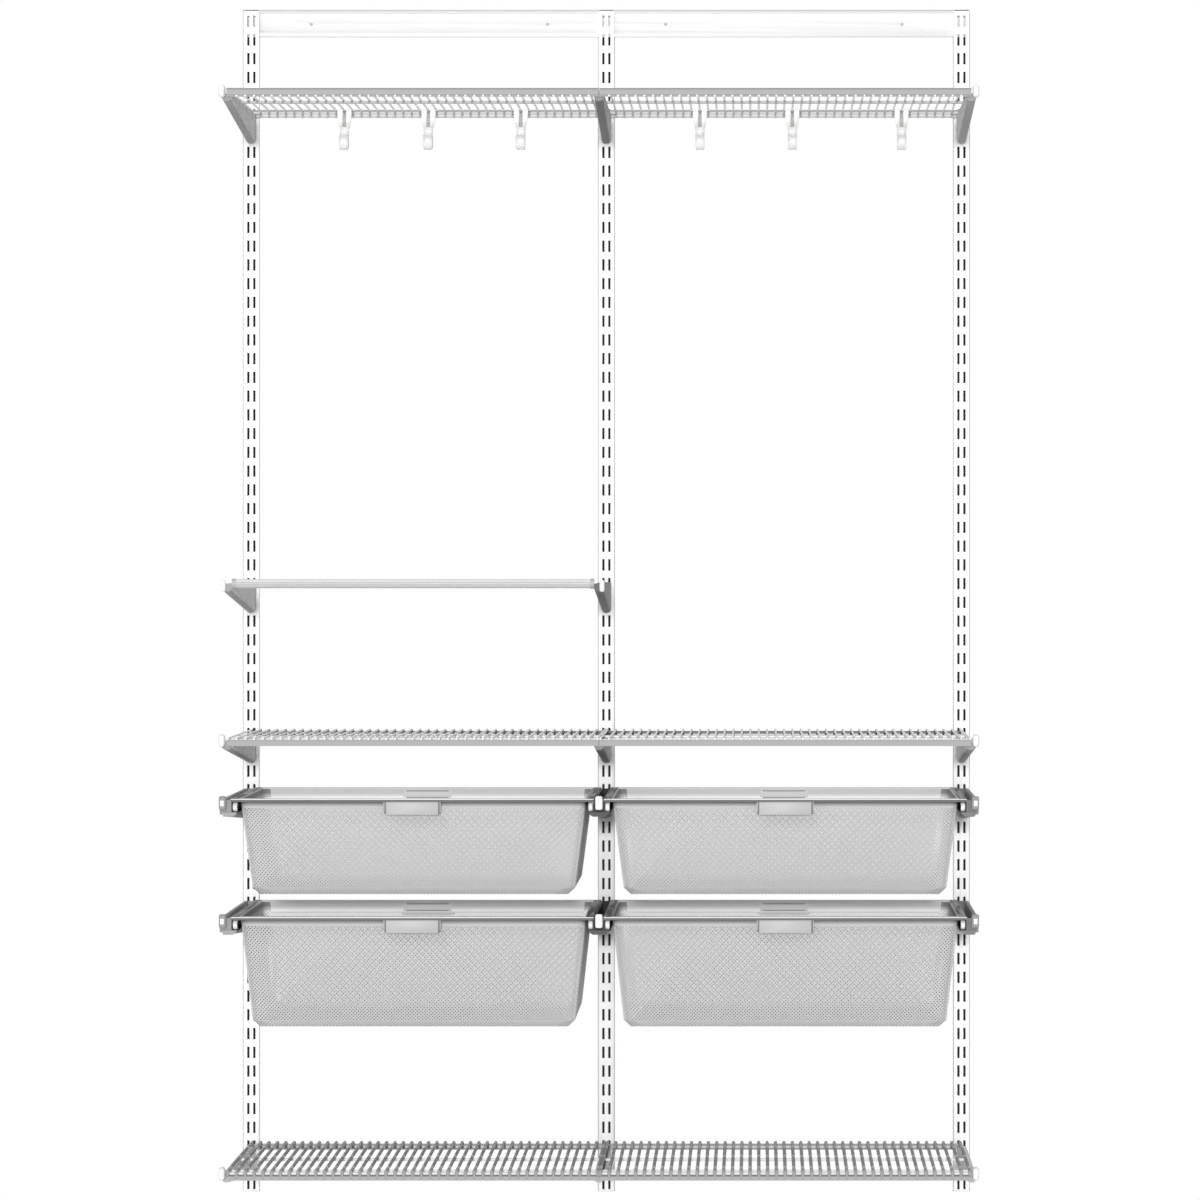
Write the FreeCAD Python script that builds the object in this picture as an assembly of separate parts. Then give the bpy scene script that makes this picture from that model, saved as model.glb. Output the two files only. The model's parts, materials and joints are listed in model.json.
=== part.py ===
"""Two-bay closet system that hangs from a wall track.

Millimetres. X runs along the wall, Y into it and Z up. The wall is the plane Y = 0. The origin is on it, at the
middle of the track's row of screw holes, which is also the middle of the mid standard.
"""
import FreeCAD
import Part
import math
import os

V = FreeCAD.Vector

# Slotted standards
slot_pitch = 32.0
slot_rows = 63
slot_length = 19.6
slot_width = 4.0
slot_column_spacing = 10.2
standard_width = 26.0
standard_depth = 17.0
standard_sheet = 1.8
top_margin = 17.75  # from a standard's top end to its first slot's centre
bottom_margin = 12.5
bay_width = 606.0  # from one standard's middle to the next

# Top track
track_height = 43.5
track_sheet = 2.0
track_channel = 5.0  # open width of the lower lip's channel
track_lip_rise = 7.0
track_top_lip = 4.0
screw_hole_radius = 2.75
screw_place_shares = (1 / 6, 5 / 6)  # of a bay's width, from the middle of the track

# Clearances
running_gap = 0.3  # between pieces that pass each other
side_gap = 0.4  # beside a drawer and beside hooks in their slots
pin_gap = 0.05  # round a roller's pin
overrun = 1.0  # how far a cutting shape passes the face that it cuts
join_tolerance = 1e-6

# Rounding, made of a few flat sides on pieces that repeat
corner_sides = 2
bend_sides = 3
cup_sides = 16
pin_sides = 6

# Levels, as the count of slot rows above the one that takes each bracket's hooks
rows_above_top_shelf = 5
rows_above_middle_shelf = 38
rows_above_bottom_shelf = 60
rows_above_rod = 30
rows_above_upper_drawers = 41
rows_above_lower_drawers = 47
rows_to_tongue = 1

# Hooks of the brackets
hook_thickness = 3.2
hook_height = 8.0
hook_drop = 6.0
hook_lip = 2.2

# Shelf brackets
bracket_width = 16.0
bracket_sheet = 1.8
bracket_heel_drop = 8.6  # of its lowest point under the seat of its tongues
bracket_front_height = 12.0
bracket_heel_radius = 9.0

# Ventilated shelves
shelf_depth = 405.0
cross_wire = 3.6
cross_wires = 43
wires_per_fold = 7  # every seventh cross wire is folded down to carry the lip wires
long_wire = 5.0
lip_wire = 4.0
lip_gap = 1.5
shelf_end_gap = 0.5
inner_wire_shares = (0.52, 0.9)  # shares of the shelf's depth

# Noses of the shelf and rod brackets
shelf_nose_width = 10.5
shelf_nose_offset = 7.0  # outwards from the middle of an end bracket, clear of the shelf
shelf_nose_above = 5.0  # above the shelf's top
shelf_nose_height = 21.0
rod_nose_width = 8.0
rod_nose_offset = 5.0  # away from the rod
rod_nose_above = 6.5
rod_nose_height = 20.0
nose_thickness = 7.0

# Closet rod
rod_bracket_length = 400.0
rod_bracket_rise = 2.4  # of its top over its upper hooks' slot centre
rod_bracket_front_height = 13.0
rod_setback = 12.0  # of its middle from the bracket's tip
rod_radius = 7.5
cup_wall = 2.0
cup_base = 2.0
cup_depth = 4.5
cup_gap = 0.15

# Coat hooks
left_hook_wires = (11, 21, 32)  # the cross wires that they straddle, counted from the left end of the shelf
right_hook_wires = (11, 22, 35)
coat_hook_side_gap = 0.8  # from its side to the next cross wire
coat_hook_tip_width = 13.0
coat_hook_height = 70.0
coat_hook_groove = 6.0
coat_hook_groove_height = 30.0
coat_hook_wall = 3.2
coat_hook_reach = 34.0
coat_hook_tip_height = 24.0
coat_hook_shoulder_share = 0.2  # of its height, where it starts to narrow
coat_hook_waist_share = 0.52  # of its height, where it has its tip's width

# Drawers
drawer_rim_rise = 5.0  # of a rim's top over its bracket's upper slot row
rim_sheet = 2.0
rim_overhang = 16.0  # of a rim's front over the drawer brackets' tips
rim_back = 8.0
rim_side_flange = 13.1
rim_end_flange = 22.0
apron_sheet = 1.5
apron_height = 8.0
upper_basket_height = 157.0
lower_basket_height = 181.0
basket_wall = 0.8
basket_taper = 18.5  # how much narrower each side is at the bottom
basket_end_taper = 9.0
basket_knee = 11.0
basket_corner_radius = 14.0
knee_corner_radius = 13.0
floor_corner_radius = 8.0
mesh_openings_across = 5
mesh_openings_deep = 3
mesh_openings_down = 2
mesh_border = 20.0  # of a basket's wall round its openings
mesh_bar = 14.0
grip_width = 93.0
grip_height = 24.0
grip_sheet = 2.5
grip_corner_radius = 6.0
grip_ledge = 3.5
grip_ledge_height = 2.5

# Rails and rollers
rail_sheet = 1.2
rail_strip_height = 4.4  # from the rim's top down to the running strip's top
rail_leg_height = 20.0
rail_end_gap = 2.0
roller_radius = 7.8
roller_width = 6.5
roller_side_gap = 1.0
roller_middle_height = 13.7  # from the rim's top down to the rollers' middle
roller_front_setback = 8.0  # from the drawer brackets' tips to the front rollers' middle
roller_rear = 24.0
roller_pin_radius = 2.5

# Drawer brackets and tracks
arm_width = 16.0
arm_sheet = 1.8
arm_top_drop = 2.5  # from the rim's top down to the arm's top
arm_heel_drop = 7.2
arm_front_height = 27.2
arm_length = 400.0
arm_heel_radius = 9.0
track_web = 1.5
track_lip_sheet = 1.4
track_lip_width = 3.0
track_lip_stop = 24.0  # how far the lip ends behind the track's front
track_floor_reach = 2.0  # of the floor past the rollers' side
track_skirt = 5.0
drawer_nose_width = 12.0
drawer_nose_offset = 6.0  # outwards from the middle of an end bracket
drawer_nose_above = 4.0
drawer_nose_height = 22.5
drawer_nose_thickness = 7.0
cover_thickness = 4.0
cover_front_height = 24.0
cover_rear_height = 30.0
cover_setback = 8.0  # from the drawer brackets' tips
cover_corner = 6.0

# Worked out from the sizes above
standard_top = track_height / 2
shelf_bracket_length = shelf_depth - cross_wire - lip_wire - running_gap
rod_distance = rod_bracket_length - rod_setback
rim_front = arm_length + rim_overhang
roller_front = arm_length - roller_front_setback
wire_step = (bay_width - 2 * shelf_end_gap - cross_wire) / (cross_wires - 1)
coat_hook_width = 2 * (wire_step - cross_wire / 2 - coat_hook_side_gap)
standard_length = top_margin + (slot_rows - 1) * slot_pitch + bottom_margin
standard_xs = (-bay_width, 0, bay_width)
bay_xs = (-bay_width / 2, bay_width / 2)
bay_names = ("left", "right")
standard_names = ("left", "mid", "right")
shelf_levels = (("top", rows_above_top_shelf), ("middle", rows_above_middle_shelf), ("bottom", rows_above_bottom_shelf))
drawer_levels = (
    ("upper", rows_above_upper_drawers, upper_basket_height),
    ("lower", rows_above_lower_drawers, lower_basket_height),
)


def slot_z(row):
    """The height of the middle of a slot row."""
    return standard_top - top_margin - row * slot_pitch


def block(x, d, z):
    """A box from its spans along X, out from the standards' front face, and up."""
    return Part.makeBox(x[1] - x[0], d[1] - d[0], z[1] - z[0], V(x[0], -standard_depth - d[1], z[0]))


def centred(middle, width):
    return (middle - width / 2, middle + width / 2)


def mirrored_span(middle, side, near, far):
    """The span from near to far on one side of a middle line, side being -1 or 1."""
    ends = (middle + side * near, middle + side * far)
    return (min(ends), max(ends))


def fused(pieces):
    return pieces[0].fuse(pieces[1:]).removeSplitter() if len(pieces) > 1 else pieces[0]


def rounded(corners, sides):
    """The points of a closed outline of corners (u, v, radius), each rounded corner turned in a few flats."""
    points = []
    for i, (u, v, radius) in enumerate(corners):
        here = V(u, v, 0)
        if radius == 0:
            points.append(here)
            continue
        u_before, v_before, _ = corners[i - 1]
        u_after, v_after, _ = corners[(i + 1) % len(corners)]
        back = (V(u_before, v_before, 0) - here).normalize()
        ahead = (V(u_after, v_after, 0) - here).normalize()
        half = back.getAngle(ahead) / 2
        turn = math.pi - 2 * half
        centre = here + (back + ahead).normalize() * (radius / math.sin(half))
        start = here + back * (radius / math.tan(half)) - centre
        end = here + ahead * (radius / math.tan(half)) - centre
        sideways = (end - start * math.cos(turn)) * (1 / math.sin(turn))
        for step in range(sides + 1):
            angle = turn * step / sides
            point = centre + start * math.cos(angle) + sideways * math.sin(angle)
            if not points or point.distanceToPoint(points[-1]) > join_tolerance:
                points.append(point)
    if points[0].distanceToPoint(points[-1]) < join_tolerance:
        points.pop()
    return points


def outline_wire(corners, place, sides=corner_sides):
    """A closed wire through corners (u, v, radius); place puts a flat point into space."""
    points = [place(point) for point in rounded(corners, sides)]
    return Part.makePolygon(points + points[:1])


def side_plate(x, corners, sides=corner_sides):
    """A profile of (distance from the standards' face, height, radius), pulled along the span x."""
    wire = outline_wire(corners, lambda p: V(x[0], -standard_depth - p.x, p.y), sides)
    return Part.Face(wire).extrude(V(x[1] - x[0], 0, 0))


def front_plate(d, corners):
    """A profile of (x, height, radius), pulled along the span d out from the standards' face."""
    wire = outline_wire(corners, lambda p: V(p.x, -standard_depth - d[0], p.y))
    return Part.Face(wire).extrude(V(0, d[0] - d[1], 0))


def round_bar(x, distance, height, corner_radius, sides):
    """A bar along X whose round section is drawn with a few even sides."""
    corners = []
    for i in range(sides):
        angle = 2 * math.pi * (i + 1 / 2) / sides
        out = distance + corner_radius * math.cos(angle)
        corners.append((out, height + corner_radius * math.sin(angle), 0))
    return side_plate(x, corners)


def across_flats(radius, sides):
    """The corner radius of an even-sided bar or bore whose flats lie at a radius."""
    return radius / math.cos(math.pi / sides)


def rectangle(u, v, radius):
    """The four corners of a rectangle, all rounded alike."""
    return [(u[0], v[0], radius), (u[1], v[0], radius), (u[1], v[1], radius), (u[0], v[1], radius)]


def make_track():
    """A flat back with a short top lip and a lower lip turned up into a channel, which the standards hang on."""
    half = track_height / 2
    span = centred(0, 2 * bay_width + standard_width)
    sheet = track_sheet
    lip = track_sheet + track_channel + track_sheet
    profile = [
        (0, half, 0), (0, -half, 0), (lip, -half, 0), (lip, -half + track_lip_rise, 0),
        (lip - sheet, -half + track_lip_rise, 0), (lip - sheet, -half + sheet, 0), (sheet, -half + sheet, 0),
        (sheet, half - sheet, 0), (sheet + track_top_lip, half - sheet, 0), (sheet + track_top_lip, half, 0),
    ]
    wall_profile = [(out - standard_depth, z, radius) for out, z, radius in profile]
    track = side_plate(span, wall_profile)
    drill_length = track_sheet + 2 * overrun
    for share in screw_place_shares:
        reach = share * bay_width
        for x in (-reach, reach):
            drill = Part.makeCylinder(screw_hole_radius, drill_length, V(x, overrun, 0), V(0, -1, 0))
            track = track.cut(drill)
    return track


def make_standard(x):
    """A channel with two rows of slots, notched at its top to hang on the track's lower lip."""
    sheet = standard_sheet
    top = standard_top
    bottom = top - standard_length
    channel = block(centred(x, standard_width), (-standard_depth, 0), (bottom, top))
    inside = block(
        centred(x, standard_width - 2 * sheet), (-standard_depth - overrun, -sheet), (bottom - overrun, top + overrun)
    )
    slots = []
    for row in range(slot_rows):
        for column in (-1, 1):
            slot_x = x + column * slot_column_spacing / 2
            height = centred(slot_z(row), slot_length)
            slots.append(block(centred(slot_x, slot_width), (-sheet - overrun, overrun), height))
    half = track_height / 2
    lip = track_sheet + track_channel + track_sheet
    lip_top = -half + track_lip_rise
    gap = running_gap
    wide = centred(x, standard_width + 2 * overrun)
    wall = -standard_depth
    # The sides are cut back round the track: its back, its channel and its top lip
    behind = block(wide, (wall - overrun, wall + track_sheet + gap), (-half - gap, top + overrun))
    channel_mouth = block(wide, (wall, wall + lip + gap), (-half - gap, lip_top))
    top_lip = block(wide, (wall, wall + track_sheet + track_top_lip + gap), (half - track_sheet - gap, top + overrun))
    tongue = block(
        wide, (wall + track_sheet + gap, wall + track_sheet + track_channel - gap),
        (-half + track_sheet + gap, lip_top + overrun),
    )
    notch = channel_mouth.cut(tongue)
    return channel.cut([inside, Part.makeCompound(slots), behind, notch, top_lip])


def bracket_hooks(x, row):
    """A pair of hooks that drop behind the standard's front, and a pair of tongues in the slots below them."""
    inner = -standard_sheet - side_gap
    seat = slot_z(row) - slot_length / 2
    hook = [
        (0, seat, 0), (0, seat + hook_height, 0), (inner - hook_lip, seat + hook_height, 0),
        (inner - hook_lip, seat - hook_drop, 0), (inner, seat - hook_drop, 0), (inner, seat, 0),
    ]
    seat -= rows_to_tongue * slot_pitch
    tongue = [
        (0, seat, 0), (0, seat + hook_height, 0), (inner, seat + hook_height, 0), (inner, seat, 0),
    ]
    pieces = []
    for column in (-1, 1):
        span = centred(x + column * slot_column_spacing / 2, hook_thickness)
        pieces += [side_plate(span, hook), side_plate(span, tongue)]
    return pieces


def make_bracket(x, row, top, length, heel_drop, front_height, width, sheet, heel_radius):
    """A folded channel, deep at the wall, shallow at its closed tip and open along its top, with its hooks."""
    wall_height = top - slot_z(row + rows_to_tongue) + slot_length / 2 + heel_drop
    rise = (wall_height - front_height) / length
    lower = sheet * math.sqrt(1 + rise * rise)
    outer = [
        (0, top, 0), (0, top - wall_height, heel_radius), (length, top - front_height, 0), (length, top, 0),
    ]
    inner = [
        (sheet, top + overrun, 0),
        (sheet, top - wall_height + lower + rise * sheet, heel_radius - sheet),
        (length - sheet, top - front_height + lower - rise * sheet, 0),
        (length - sheet, top + overrun, 0),
    ]
    channel = side_plate(centred(x, width), outer).cut(side_plate(centred(x, width - 2 * sheet), inner))
    return fused([channel] + bracket_hooks(x, row))


def make_shelf_bracket(x, row):
    return make_bracket(
        x, row, slot_z(row), shelf_bracket_length, bracket_heel_drop, bracket_front_height,
        bracket_width, bracket_sheet, bracket_heel_radius,
    )


def shelf_top(row):
    """A shelf's long wires rest on the bracket's top, and its cross wires on them."""
    return slot_z(row) + long_wire + cross_wire


def wire_x(bay, index):
    """The middle of a cross wire, counted from the left end of a bay's shelf."""
    return bay - bay_width / 2 + shelf_end_gap + cross_wire / 2 + index * wire_step


def make_shelf(bay, row):
    """Cross wires on long wires; the lips hang in front of and behind them, on folded cross wires."""
    top = shelf_top(row)
    under = top - cross_wire
    lip_top = under - long_wire - lip_gap
    lip_bottom = lip_top - lip_wire
    back = cross_wire
    front = shelf_depth - cross_wire
    wires = []
    for index in range(cross_wires):
        span = centred(wire_x(bay, index), cross_wire)
        if index % wires_per_fold or index in (0, cross_wires - 1):
            wires.append(block(span, (0, shelf_depth), (under, top)))
            continue
        profile = [
            (0, top, 0), (0, lip_bottom, 0), (back, lip_bottom, 0), (back, under, 0),
            (front, under, 0), (front, lip_bottom, 0), (shelf_depth, lip_bottom, 0), (shelf_depth, top, 0),
        ]
        wires.append(side_plate(span, profile))
    whole = centred(bay, bay_width - 2 * shelf_end_gap)
    inner_wires = [centred(share * shelf_depth, long_wire) for share in inner_wire_shares]
    for d in [(back, back + long_wire), (front - long_wire, front)] + inner_wires:
        wires.append(block(whole, d, (under - long_wire, under)))
    between = centred(bay, bay_width - bracket_width - 2 * running_gap)
    for x, d in ((between, (back, back + lip_wire)), (whole, (front - lip_wire, front))):
        wires.append(block(x, d, (lip_bottom, lip_top)))
    return Part.makeCompound(wires)


def make_nose(x, front, top, width, height, thickness):
    """A moulded end cap with a rounded top and bottom."""
    corners = rectangle(centred(x, width), (top - height, top), width / 2)
    return front_plate((front, front + thickness), corners)


def make_shelf_noses():
    """The caps on the tips of the end brackets, beside the shelves' front corners."""
    noses = []
    thickness = shelf_depth + nose_thickness - shelf_bracket_length
    for _, row in shelf_levels:
        top = shelf_top(row) + shelf_nose_above
        for x in (standard_xs[0] - shelf_nose_offset, standard_xs[-1] + shelf_nose_offset):
            noses.append(make_nose(x, shelf_bracket_length, top, shelf_nose_width, shelf_nose_height, thickness))
    return Part.makeCompound(noses)


rod_bracket_top = slot_z(rows_above_rod) + rod_bracket_rise


def make_rod_bracket(x):
    return make_bracket(
        x, rows_above_rod, rod_bracket_top, rod_bracket_length, bracket_heel_drop, rod_bracket_front_height,
        bracket_width, bracket_sheet, bracket_heel_radius,
    )


def make_rod_noses():
    noses = []
    for x in (standard_xs[0] - rod_nose_offset, standard_xs[1] + rod_nose_offset):
        top = rod_bracket_top + rod_nose_above
        noses.append(make_nose(x, rod_bracket_length, top, rod_nose_width, rod_nose_height, nose_thickness))
    return Part.makeCompound(noses)


def make_rod():
    """A round rod that spans the left bay from cup to cup."""
    start = standard_xs[0] + bracket_width / 2 + cup_base
    end = standard_xs[1] - bracket_width / 2 - cup_base
    centre = V(start, -standard_depth - rod_distance, rod_bracket_top)
    return Part.makeCylinder(rod_radius, end - start, centre, V(1, 0, 0))


def make_rod_cups():
    """The cups that hold the rod's ends, one on each rod bracket's inner side."""
    cups = []
    bore = rod_radius + cup_gap
    face = bracket_width / 2
    for x, side in ((standard_xs[0], 1), (standard_xs[1], -1)):
        whole = mirrored_span(x, side, face, face + cup_base + cup_depth)
        mouth = mirrored_span(x, side, face + cup_base, face + cup_base + cup_depth + overrun)
        cup = round_bar(
            whole, rod_distance, rod_bracket_top, across_flats(bore + cup_wall, cup_sides), cup_sides
        )
        cups.append(cup.cut(
            round_bar(mouth, rod_distance, rod_bracket_top, across_flats(bore, cup_sides), cup_sides)
        ))
    return Part.makeCompound(cups)


def make_coat_hook(x):
    """A moulded hook: two prongs over the shelf's rear long wire, and a tongue that curls out and up."""
    top = shelf_top(rows_above_top_shelf)
    wall = coat_hook_wall
    wire_back = cross_wire - running_gap
    wire_front = cross_wire + long_wire + running_gap
    prong_back = running_gap
    bottom = top - coat_hook_height
    spine_front = wire_front + wall
    bend = (coat_hook_reach - wire_front) / 2
    inner_bend = bend - wall
    prong_under = top - cross_wire - long_wire - lip_gap - lip_wire / 2
    profile = [
        (prong_back, top, 0),
        (prong_back, prong_under, 0),
        (wire_back, prong_under, 0),
        (wire_back, top - cross_wire + running_gap, 0),
        (wire_front, top - cross_wire + running_gap, 0),
        (wire_front, bottom, bend),
        (coat_hook_reach, bottom, bend),
        (coat_hook_reach, bottom + coat_hook_tip_height, 0),
        (coat_hook_reach - wall, bottom + coat_hook_tip_height, 0),
        (coat_hook_reach - wall, bottom + wall, inner_bend),
        (spine_front, bottom + wall, inner_bend),
        (spine_front, top, 0),
    ]
    body = side_plate(centred(x, coat_hook_width), profile, bend_sides)
    half = coat_hook_width / 2
    tip = coat_hook_tip_width / 2
    shoulder = top - coat_hook_shoulder_share * coat_hook_height
    waist = top - coat_hook_waist_share * coat_hook_height
    outline = front_plate(
        (prong_back - overrun, coat_hook_reach + overrun),
        [
            (x - half, top + overrun, 0), (x - half, shoulder, 0), (x - tip, waist, 0),
            (x - tip, bottom - overrun, 0), (x + tip, bottom - overrun, 0), (x + tip, waist, 0),
            (x + half, shoulder, 0), (x + half, top + overrun, 0),
        ],
    )
    groove = block(
        centred(x, coat_hook_groove), (prong_back - overrun, spine_front + overrun),
        (top - coat_hook_groove_height, top + overrun),
    )
    return body.common(outline).cut(groove)


def make_coat_hooks(bay, wires):
    return Part.makeCompound([make_coat_hook(wire_x(bay, wire)) for wire in wires])


def rim_top(row):
    return slot_z(row) + drawer_rim_rise


rim_half_width = bay_width / 2 - arm_width / 2 - side_gap
basket_half_width = rim_half_width - rim_side_flange
basket_back = rim_back + rim_end_flange
basket_front = rim_front - rim_end_flange


def across(bay, side, span):
    """A span given by its distances from the bracket's middle line at one side of a bay."""
    return mirrored_span(bay + side * bay_width / 2, -side, span[0], span[1])


def roller_side():
    """How far a roller's outer side is from its bracket's middle line."""
    return arm_width / 2 + track_web + roller_side_gap


def rail_leg_span():
    start = roller_side() + roller_width + roller_side_gap
    return (start, start + rail_sheet)


def make_rim(bay, row):
    """A folded frame with aprons, and a rail under each side flange that runs on the rollers."""
    top = rim_top(row)
    under = top - rim_sheet
    whole = centred(bay, 2 * rim_half_width)
    plate = block(whole, (rim_back, rim_front), (under, top))
    mouth = block(
        centred(bay, 2 * (basket_half_width - basket_wall)),
        (basket_back + basket_wall, basket_front - basket_wall), (under - overrun, top + overrun),
    )
    pieces = [plate.cut(mouth)]
    leg = rail_leg_span()
    between_rails = centred(bay, bay_width - 2 * leg[0])
    apron = (top - apron_height, under)
    pieces.append(block(whole, (rim_front - apron_sheet, rim_front), apron))
    pieces.append(block(between_rails, (rim_back, rim_back + apron_sheet), apron))
    rail_ends = (rim_back + apron_sheet, rim_front - apron_sheet)
    strip_top = top - rail_strip_height
    for side in (-1, 1):
        pieces.append(block(across(bay, side, leg), rail_ends, (top - rail_leg_height, under)))
        strip = (roller_side() - roller_side_gap / 2, leg[0])
        pieces.append(block(across(bay, side, strip), rail_ends, (strip_top - rail_sheet, strip_top)))
        pin = across(bay, side, (roller_side() - roller_side_gap / 2, leg[0]))
        pieces.append(roller_pin(pin, roller_rear, top))
    return fused(pieces)


def roller_pin(x, distance, top):
    return round_bar(x, distance, top - roller_middle_height, roller_pin_radius, pin_sides)


def make_rollers(bay, row, distance):
    """A pair of rollers on one axis, one at each side of a drawer."""
    rollers = []
    height = rim_top(row) - roller_middle_height
    bore = across_flats(roller_pin_radius + pin_gap, pin_sides)
    for side in (-1, 1):
        span = across(bay, side, (roller_side(), roller_side() + roller_width))
        centre = V(span[0], -standard_depth - distance, height)
        wheel = Part.makeCylinder(roller_radius, roller_width, centre, V(1, 0, 0))
        bore_span = (span[0] - overrun, span[1] + overrun)
        rollers.append(wheel.cut(round_bar(bore_span, distance, height, bore, pin_sides)))
    return Part.makeCompound(rollers)


def flat_sided(sections):
    """A solid with flat sides through level outlines that have the same number of points."""
    loops = [sections[0], sections[-1]]
    for lower, upper in zip(sections, sections[1:]):
        for i in range(len(lower)):
            loops.append([lower[i - 1], lower[i], upper[i], upper[i - 1]])
    return Part.makeSolid(Part.makeShell([Part.Face(Part.makePolygon(loop + loop[:1])) for loop in loops]))


def basket_section(bay, z, side_in, end_in, radius):
    """The points of a level outline of the basket, drawn in from its top outline by side_in and end_in."""
    x = centred(bay, 2 * (basket_half_width - side_in))
    d = (basket_back + end_in, basket_front - end_in)
    return [V(p.x, -standard_depth - p.y, z) for p in rounded(rectangle(x, d, radius), corner_sides)]


def basket_form(bay, top, bottom, inset):
    """The tapered body with a sloping knee round its floor; inset makes it smaller all round."""
    return flat_sided([
        basket_section(bay, top, inset, inset, basket_corner_radius),
        basket_section(
            bay, bottom + basket_knee, basket_taper + inset, basket_end_taper + inset, knee_corner_radius
        ),
        basket_section(
            bay, bottom, basket_taper + basket_knee + inset, basket_end_taper + basket_knee + inset,
            floor_corner_radius,
        ),
    ])


def spans_between_bars(span, count):
    """The even openings that bars leave in a span."""
    size = (span[1] - span[0] - (count - 1) * mesh_bar) / count
    starts = [span[0] + i * (size + mesh_bar) for i in range(count)]
    return [(start, start + size) for start in starts]


def make_basket(bay, row, height):
    """A thin tapered basket that hangs under the rim, its four walls opened in a plain grid."""
    top = rim_top(row) - rim_sheet
    bottom = rim_top(row) - height
    outer = basket_form(bay, top, bottom, 0)
    inner = basket_form(bay, top, bottom + basket_wall, basket_wall)
    border = mesh_border + basket_corner_radius
    open_width = centred(bay, 2 * (basket_half_width - basket_taper - border))
    open_depth = (basket_back + basket_end_taper + border, basket_front - basket_end_taper - border)
    through_width = centred(bay, 2 * (basket_half_width + overrun))
    through_depth = (basket_back - overrun, basket_front + overrun)
    openings = []
    for z in spans_between_bars((bottom + basket_knee + mesh_border, top - mesh_border), mesh_openings_down):
        for x in spans_between_bars(open_width, mesh_openings_across):
            openings.append(block(x, through_depth, z))
        for d in spans_between_bars(open_depth, mesh_openings_deep):
            openings.append(block(through_width, d, z))
    return outer.cut([inner] + openings)


def make_grips(bay, row):
    """A grip at each end: a rounded plate inside the apron, with a ledge for the fingers."""
    top = rim_top(row) - rim_sheet
    bottom = top - grip_height
    grips = []
    for inner, turn in ((rim_front - apron_sheet, -1), (rim_back + apron_sheet, 1)):
        corner = grip_corner_radius
        x = centred(bay, grip_width)
        corners = [(x[0], bottom, corner), (x[1], bottom, corner), (x[1], top, 0), (x[0], top, 0)]
        plate_span = (min(inner, inner + turn * grip_sheet), max(inner, inner + turn * grip_sheet))
        plate = front_plate(plate_span, corners)
        ledge_ends = (inner + turn * grip_sheet, inner + turn * (grip_sheet + grip_ledge))
        ledge_x = centred(bay, grip_width - 2 * grip_corner_radius)
        ledge = block(ledge_x, (min(ledge_ends), max(ledge_ends)), (bottom, bottom + grip_ledge_height))
        grips.append(fused([plate, ledge]))
    return Part.makeCompound(grips)


def make_drawer_bracket(x, row):
    return make_bracket(
        x, row, rim_top(row) - arm_top_drop, arm_length, arm_heel_drop, arm_front_height,
        arm_width, arm_sheet, arm_heel_radius,
    )


def make_tracks(bay, row):
    """A C-section on each side of a bay, with the front roller's pin."""
    top = rim_top(row)
    floor_top = top - roller_middle_height - roller_radius - running_gap
    strip_under = top - rail_strip_height
    lip_bottom = strip_under + running_gap
    web = (arm_width / 2, arm_width / 2 + track_web)
    rear = side_gap
    tracks = []
    for side in (-1, 1):
        floor_end = roller_side() + roller_width + track_floor_reach
        pieces = [
            block(across(bay, side, web), (rear, arm_length), (floor_top - track_skirt, lip_bottom + track_lip_sheet)),
            block(across(bay, side, (web[1], floor_end)), (rear, arm_length), (floor_top - track_web, floor_top)),
            block(
                across(bay, side, (web[1], web[1] + track_lip_width)), (rear, arm_length - track_lip_stop),
                (lip_bottom, lip_bottom + track_lip_sheet),
            ),
            roller_pin(
                across(bay, side, (web[1], roller_side() + roller_width + roller_side_gap / 2)), roller_front, top
            ),
        ]
        tracks.append(fused(pieces))
    return Part.makeCompound(tracks)


def make_drawer_noses():
    noses = []
    for _, row, _ in drawer_levels:
        for x in (standard_xs[0] - drawer_nose_offset, standard_xs[1], standard_xs[-1] + drawer_nose_offset):
            top = rim_top(row) + drawer_nose_above
            noses.append(
                make_nose(x, arm_length, top, drawer_nose_width, drawer_nose_height, drawer_nose_thickness)
            )
    return Part.makeCompound(noses)


def make_covers():
    """The plates on the outer sides of the four end brackets."""
    covers = []
    for _, row, _ in drawer_levels:
        top = rim_top(row) - arm_top_drop
        front = arm_length - cover_setback
        corners = [
            (side_gap, top, 0), (side_gap, top - cover_rear_height, cover_corner),
            (front, top - cover_front_height, cover_corner), (front, top, cover_corner),
        ]
        for x, side in ((standard_xs[0], -1), (standard_xs[-1], 1)):
            span = mirrored_span(x, side, arm_width / 2, arm_width / 2 + cover_thickness)
            covers.append(side_plate(span, corners))
    return Part.makeCompound(covers)


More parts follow.
